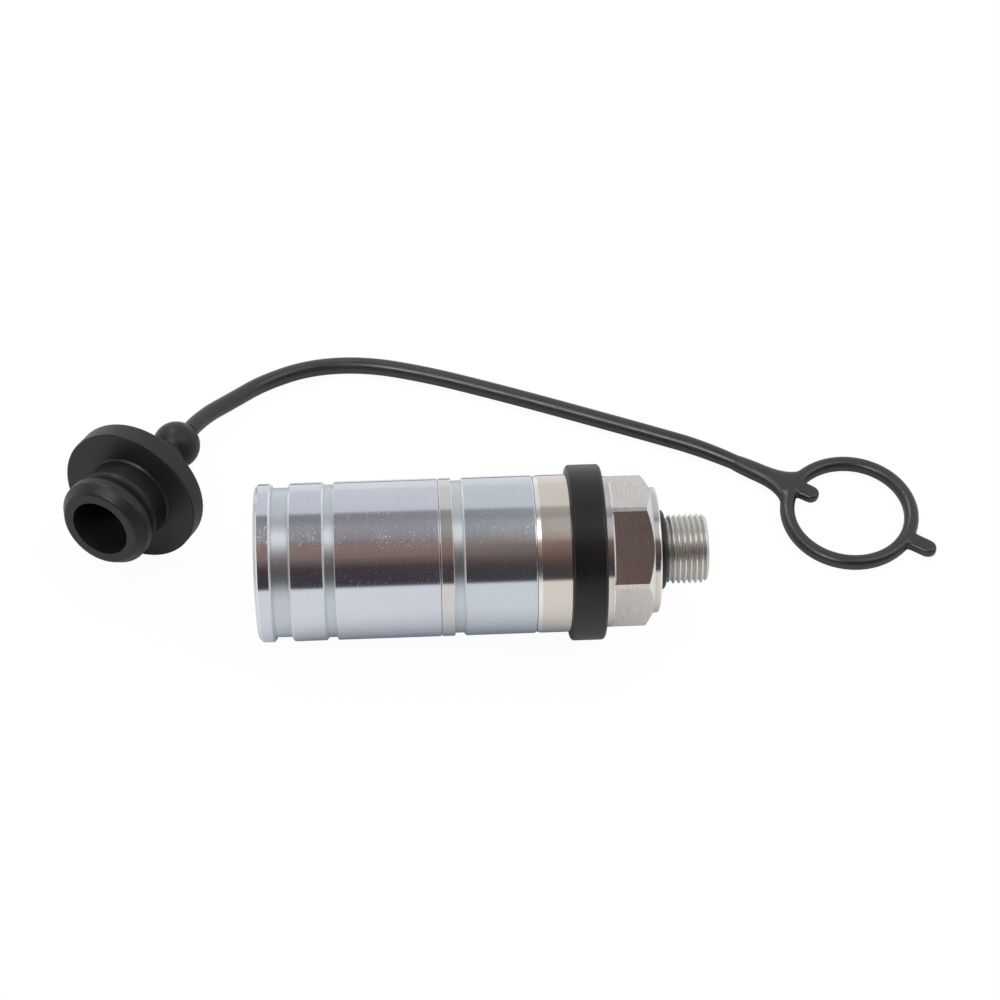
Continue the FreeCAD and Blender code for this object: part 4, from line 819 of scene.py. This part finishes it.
class COUPLER_OT_dust_plug(bpy.types.Operator):
    """Add the moulded dust plug with the line of its mould"""

    bl_idname = "coupler.dust_plug"
    bl_label = "Dust plug"

    def execute(self, context):
        settings = context.scene.coupler_plug
        shape = bmesh.new()
        shape.from_mesh(NODES["dust_plug"].data)
        centre = Vector(settings.centre)
        axis = Vector(settings.axis).normalized()
        for vertex in shape.verts:
            along = (vertex.co - centre).dot(axis)
            spoke = vertex.co - centre - axis * along
            reach = spoke.length
            if FOOT_END < along < LIP_START and reach > OUTSIDE_HOLLOW:
                vertex.co += spoke * (settings.neck_radius / reach - 1.0)
            elif -FACE_SLACK < along <= FOOT_END and FOOT_REACH[0] < reach < FOOT_REACH[1]:
                vertex.co += spoke * (settings.foot_radius / reach - 1.0)
        mesh = bpy.data.meshes.new("moulded_plug")
        shape.to_mesh(mesh)
        shape.free()
        piece = new_object("moulded_plug", mesh)
        material = self.plug_rubber(context.scene.coupler_rubber, settings, centre, axis)
        mesh.materials.append(material)
        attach(piece, "body")
        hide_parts("dust_plug")
        light_rubber(piece)
        return {"FINISHED"}

    def plug_rubber(self, rubber_settings, settings, centre, axis):
        """The plug's rubber, with the line where the mould's halves met and rings round the nose's foot,
        whose crests are lightened as a painted highlight.
        """
        material = rubber("Plug Rubber", rubber_settings, dust=0.03, darkness=0.85, gloss=0.36)
        tree = Tree(material.node_tree)
        shader = next(node for node in material.node_tree.nodes if node.type == "BSDF_PRINCIPLED")
        spoke = tree.vector_math("SUBTRACT", tree.add("TexCoord").outputs["Object"], centre)
        off = tree.vector_math("DOT_PRODUCT", spoke, Vector(settings.parting).normalized())
        half = settings.parting_width / 2
        line = tree.window(off, -half, half, 0.00005)
        along = tree.vector_math("DOT_PRODUCT", spoke, axis)
        square = tree.vector_math("DOT_PRODUCT", spoke, spoke)
        reach = tree.math("SQRT", tree.math("SUBTRACT", square, tree.math("MULTIPLY", along, along)))
        rings = tree.noise(tree.vector(tree.math("MULTIPLY", reach, 2600.0)), 1.0, 2.0)
        rings = tree.math("MULTIPLY", rings, tree.window(reach, 0.0107, 0.0131, 0.0006))
        before = shader.inputs["Base Color"].links[0].from_socket
        tint = tree.mix(tree.math("MULTIPLY", line, 0.75), before, colour((0.002, 0.002, 0.002)))
        # Painted highlight: the crests of the rings are lightened, as if light caught them.
        crests = tree.math("MULTIPLY", tree.remap(rings, 0.55, 0.75), 0.22)
        tint = tree.mix(crests, tint, colour((0.09, 0.085, 0.09)))
        tree.link(tint, shader.inputs["Base Color"])
        normal = shader.inputs["Normal"].links[0].from_socket
        cut = {"Strength": 0.8, "Distance": 0.00012, "Height": line, "Normal": normal}
        normal = tree.add("Bump", cut, invert=True).outputs[0]
        ridges = {"Strength": 0.5, "Distance": 0.00008, "Height": rings, "Normal": normal}
        tree.link(tree.add("Bump", ridges).outputs[0], shader.inputs["Normal"])
        return material


class COUPLER_OT_sleeve(bpy.types.Operator):
    """Finish the two halves of the sliding sleeve"""

    bl_idname = "coupler.sleeve"
    bl_label = "Sliding sleeve"

    def execute(self, context):
        plating = context.scene.coupler_plating
        front = plated_steel("Front Sleeve Zinc", plating.sleeve_colour, plating, groove_radius=0.0187)
        finish_with(["front_sleeve"], front)
        rear = plated_steel(
            "Rear Sleeve Zinc", plating.rear_colour, plating, groove_radius=0.0187,
            warm_up_to=-0.0490, joint=-0.0522, marks=0.5)
        finish_with(["rear_sleeve"], rear)
        return {"FINISHED"}


class COUPLER_OT_body(bpy.types.Operator):
    """Finish the body tube and the rubber band behind it"""

    bl_idname = "coupler.body"
    bl_label = "Body tube and band"

    def execute(self, context):
        scene = context.scene
        plating = scene.coupler_plating
        finish_with(["body_tube"], plated_steel("Body Zinc", plating.body_colour, plating, marks=0.4))
        band = rubber("Band Rubber", scene.coupler_rubber, dust=0.03, grain=1.6, darkness=0.25, gloss=0.45)
        finish_with(["rubber_band"], band)
        return {"FINISHED"}


class COUPLER_OT_port_end(bpy.types.Operator):
    """Add the hexagon with its threaded stud, and finish the port's O-ring"""

    bl_idname = "coupler.port_end"
    bl_label = "Hexagon and threaded stud"

    def execute(self, context):
        scene = context.scene
        plating = scene.coupler_plating
        thread = scene.coupler_thread
        shape = bmesh.new()
        shape.from_mesh(NODES["port_adapter"].data)
        root = thread.crest_radius - thread.depth
        for vertex in shape.verts:
            radius = math.hypot(vertex.co.y, vertex.co.z)
            if vertex.co.x > thread.start and radius > root - CORE_GAP:
                share = (root - CORE_GAP) / radius
                vertex.co.y *= share
                vertex.co.z *= share
        self.add_turns(shape, thread, root)
        mesh = bpy.data.meshes.new("threaded_adapter")
        shape.to_mesh(mesh)
        shape.free()
        piece = new_object("threaded_adapter", mesh)
        # Within groove_radius the thread's roots take that darker colour: dirt and painted shade.
        steel = plated_steel(
            "Adapter Zinc", plating.body_colour, plating, groove_radius=0.00795, groove=plating.root_dirt_and_shade_colour,
            roughness=0.03, brush=1.0, marks=0.25)
        mesh.materials.append(steel)
        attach(piece, "body")
        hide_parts("port_adapter")
        finish_with(["port_seal"], rubber("Seal Rubber", scene.coupler_rubber, dust=0.0, grain=0.5))
        return {"FINISHED"}

    def add_turns(self, shape, thread, root):
        """A closed ring round the stud whose outside is the thread, with its run-out and its end bevel."""
        end = STUD_BOX[1].x - 0.00001
        count = int((end - thread.start) / thread.pitch * thread.steps_per_turn)
        along = np.linspace(thread.start, end, count)
        angles = np.arange(thread.sides) / thread.sides * 2 * math.pi
        x, angle = np.meshgrid(along, angles, indexing="ij")
        phase = ((x - thread.first_crest) / thread.pitch - angle / (2 * math.pi)) % 1.0
        ridge = np.abs(2 * phase - 1)
        slope = np.clip((ridge - 0.5) * 1.5 + 0.5, 0.0, 1.0)
        height = slope * slope * (3 - 2 * slope) * 0.35 + slope * 0.65
        shown = np.clip((x - thread.start) / RISE_LENGTH, 0.0, 1.0)
        radius = root + thread.depth * height * shown
        radius = np.minimum(radius, root + np.maximum(0.0, end - x) - BEVEL_DROP)
        inside = np.full(thread.sides, root - END_DEPTH)
        rings = [inside, *radius, inside]
        places = [along[0], *along, along[-1]]
        grid = []
        for place, ring in zip(places, rings):
            row = [shape.verts.new((place, r * math.cos(a), r * math.sin(a))) for r, a in zip(ring, angles)]
            grid.append(row)
        grid.append(grid[0])
        for a, b in zip(grid, grid[1:]):
            for k in range(thread.sides):
                j = (k + 1) % thread.sides
                face = shape.faces.new((a[k], a[j], b[j], b[k]))
                face.smooth = True


class COUPLER_OT_inner_parts(bpy.types.Operator):
    """Finish the socket, valve, balls, springs, rings and seals inside the coupler"""

    bl_idname = "coupler.inner_parts"
    bl_label = "Inner parts"

    def execute(self, context):
        scene = context.scene
        plating = scene.coupler_plating
        socket = plated_steel("Socket Zinc", plating.body_colour, plating, roughness=0.08)
        finish_with(["socket"], socket)
        bare = plain_metal("Turned Steel", (0.55, 0.54, 0.53), 0.22, 5000.0)
        finish_with(["poppet", "valve_guide", "sleeve_spring_washer", "socket_spring_washer"], bare)
        finish_with(["locking_balls"], plain_metal("Ball Steel", (0.72, 0.72, 0.73), 0.05, 500.0))
        drawn = plain_metal("Spring Steel", (0.33, 0.32, 0.32), 0.28, 9000.0)
        finish_with(["sleeve_clip", "socket_clip", "guide_clip"], drawn)
        for name, body, joint, travel, seat in SPRINGS:
            self.add_spring(name, body, joint, travel, seat, drawn)
        seal = rubber("Inner Seal Rubber", scene.coupler_rubber, dust=0.0, grain=0.5)
        finish_with(["adapter_seal", "tip_seal", "socket_seal", "poppet_seal"], seal)
        white = soft_plastic("White Plastic", (0.80, 0.79, 0.75), 0.4)
        finish_with(["tip_backup_ring", "socket_backup_ring"], white)
        return {"FINISHED"}

    def add_spring(self, name, body, joint, travel, seat, material):
        """A copy of the spring's solid in this material, riding on its body in place of the CAD node."""
        spring = new_object("coiled_" + name, NODES[name].data.copy())
        spring.data.materials.clear()
        spring.data.materials.append(material)
        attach(spring, body)
        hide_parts(name)
        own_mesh(spring)


class COUPLER_PT_panel(bpy.types.Panel):
    """Lists the steps that build the coupler's looks"""

    bl_idname = "COUPLER_PT_panel"
    bl_label = "Hydraulic quick coupler"
    bl_space_type = "VIEW_3D"
    bl_region_type = "UI"
    bl_category = "Coupler"

    def draw(self, context):
        for step in STEPS:
            self.layout.operator(step.bl_idname)
        for name in SETTINGS:
            group = getattr(context.scene, name)
            box = self.layout.box()
            for label in group.__annotations__:
                box.prop(group, label)


STEPS = (
    COUPLER_OT_stage,
    COUPLER_OT_dust_plug,
    COUPLER_OT_tether,
    COUPLER_OT_sleeve,
    COUPLER_OT_body,
    COUPLER_OT_port_end,
    COUPLER_OT_inner_parts,
)
SETTINGS = {
    "coupler_studio": StudioSettings,
    "coupler_plating": PlatingSettings,
    "coupler_rubber": RubberSettings,
    "coupler_plug": PlugSettings,
    "coupler_thread": ThreadSettings,
}


def register():
    for group in SETTINGS.values():
        bpy.utils.register_class(group)
    for name, group in SETTINGS.items():
        setattr(bpy.types.Scene, name, PointerProperty(type=group))
    for step in STEPS:
        bpy.utils.register_class(step)
    bpy.utils.register_class(COUPLER_PT_panel)


def unregister():
    bpy.utils.unregister_class(COUPLER_PT_panel)
    for step in reversed(STEPS):
        bpy.utils.unregister_class(step)
    for name in SETTINGS:
        delattr(bpy.types.Scene, name)
    for group in reversed(list(SETTINGS.values())):
        bpy.utils.unregister_class(group)


def main():
    register()
    make_groups()
    bpy.ops.coupler.stage()
    bpy.ops.coupler.dust_plug()
    bpy.ops.coupler.tether()
    bpy.ops.coupler.sleeve()
    bpy.ops.coupler.body()
    bpy.ops.coupler.port_end()
    bpy.ops.coupler.inner_parts()


if __name__ == "__main__":
    main()
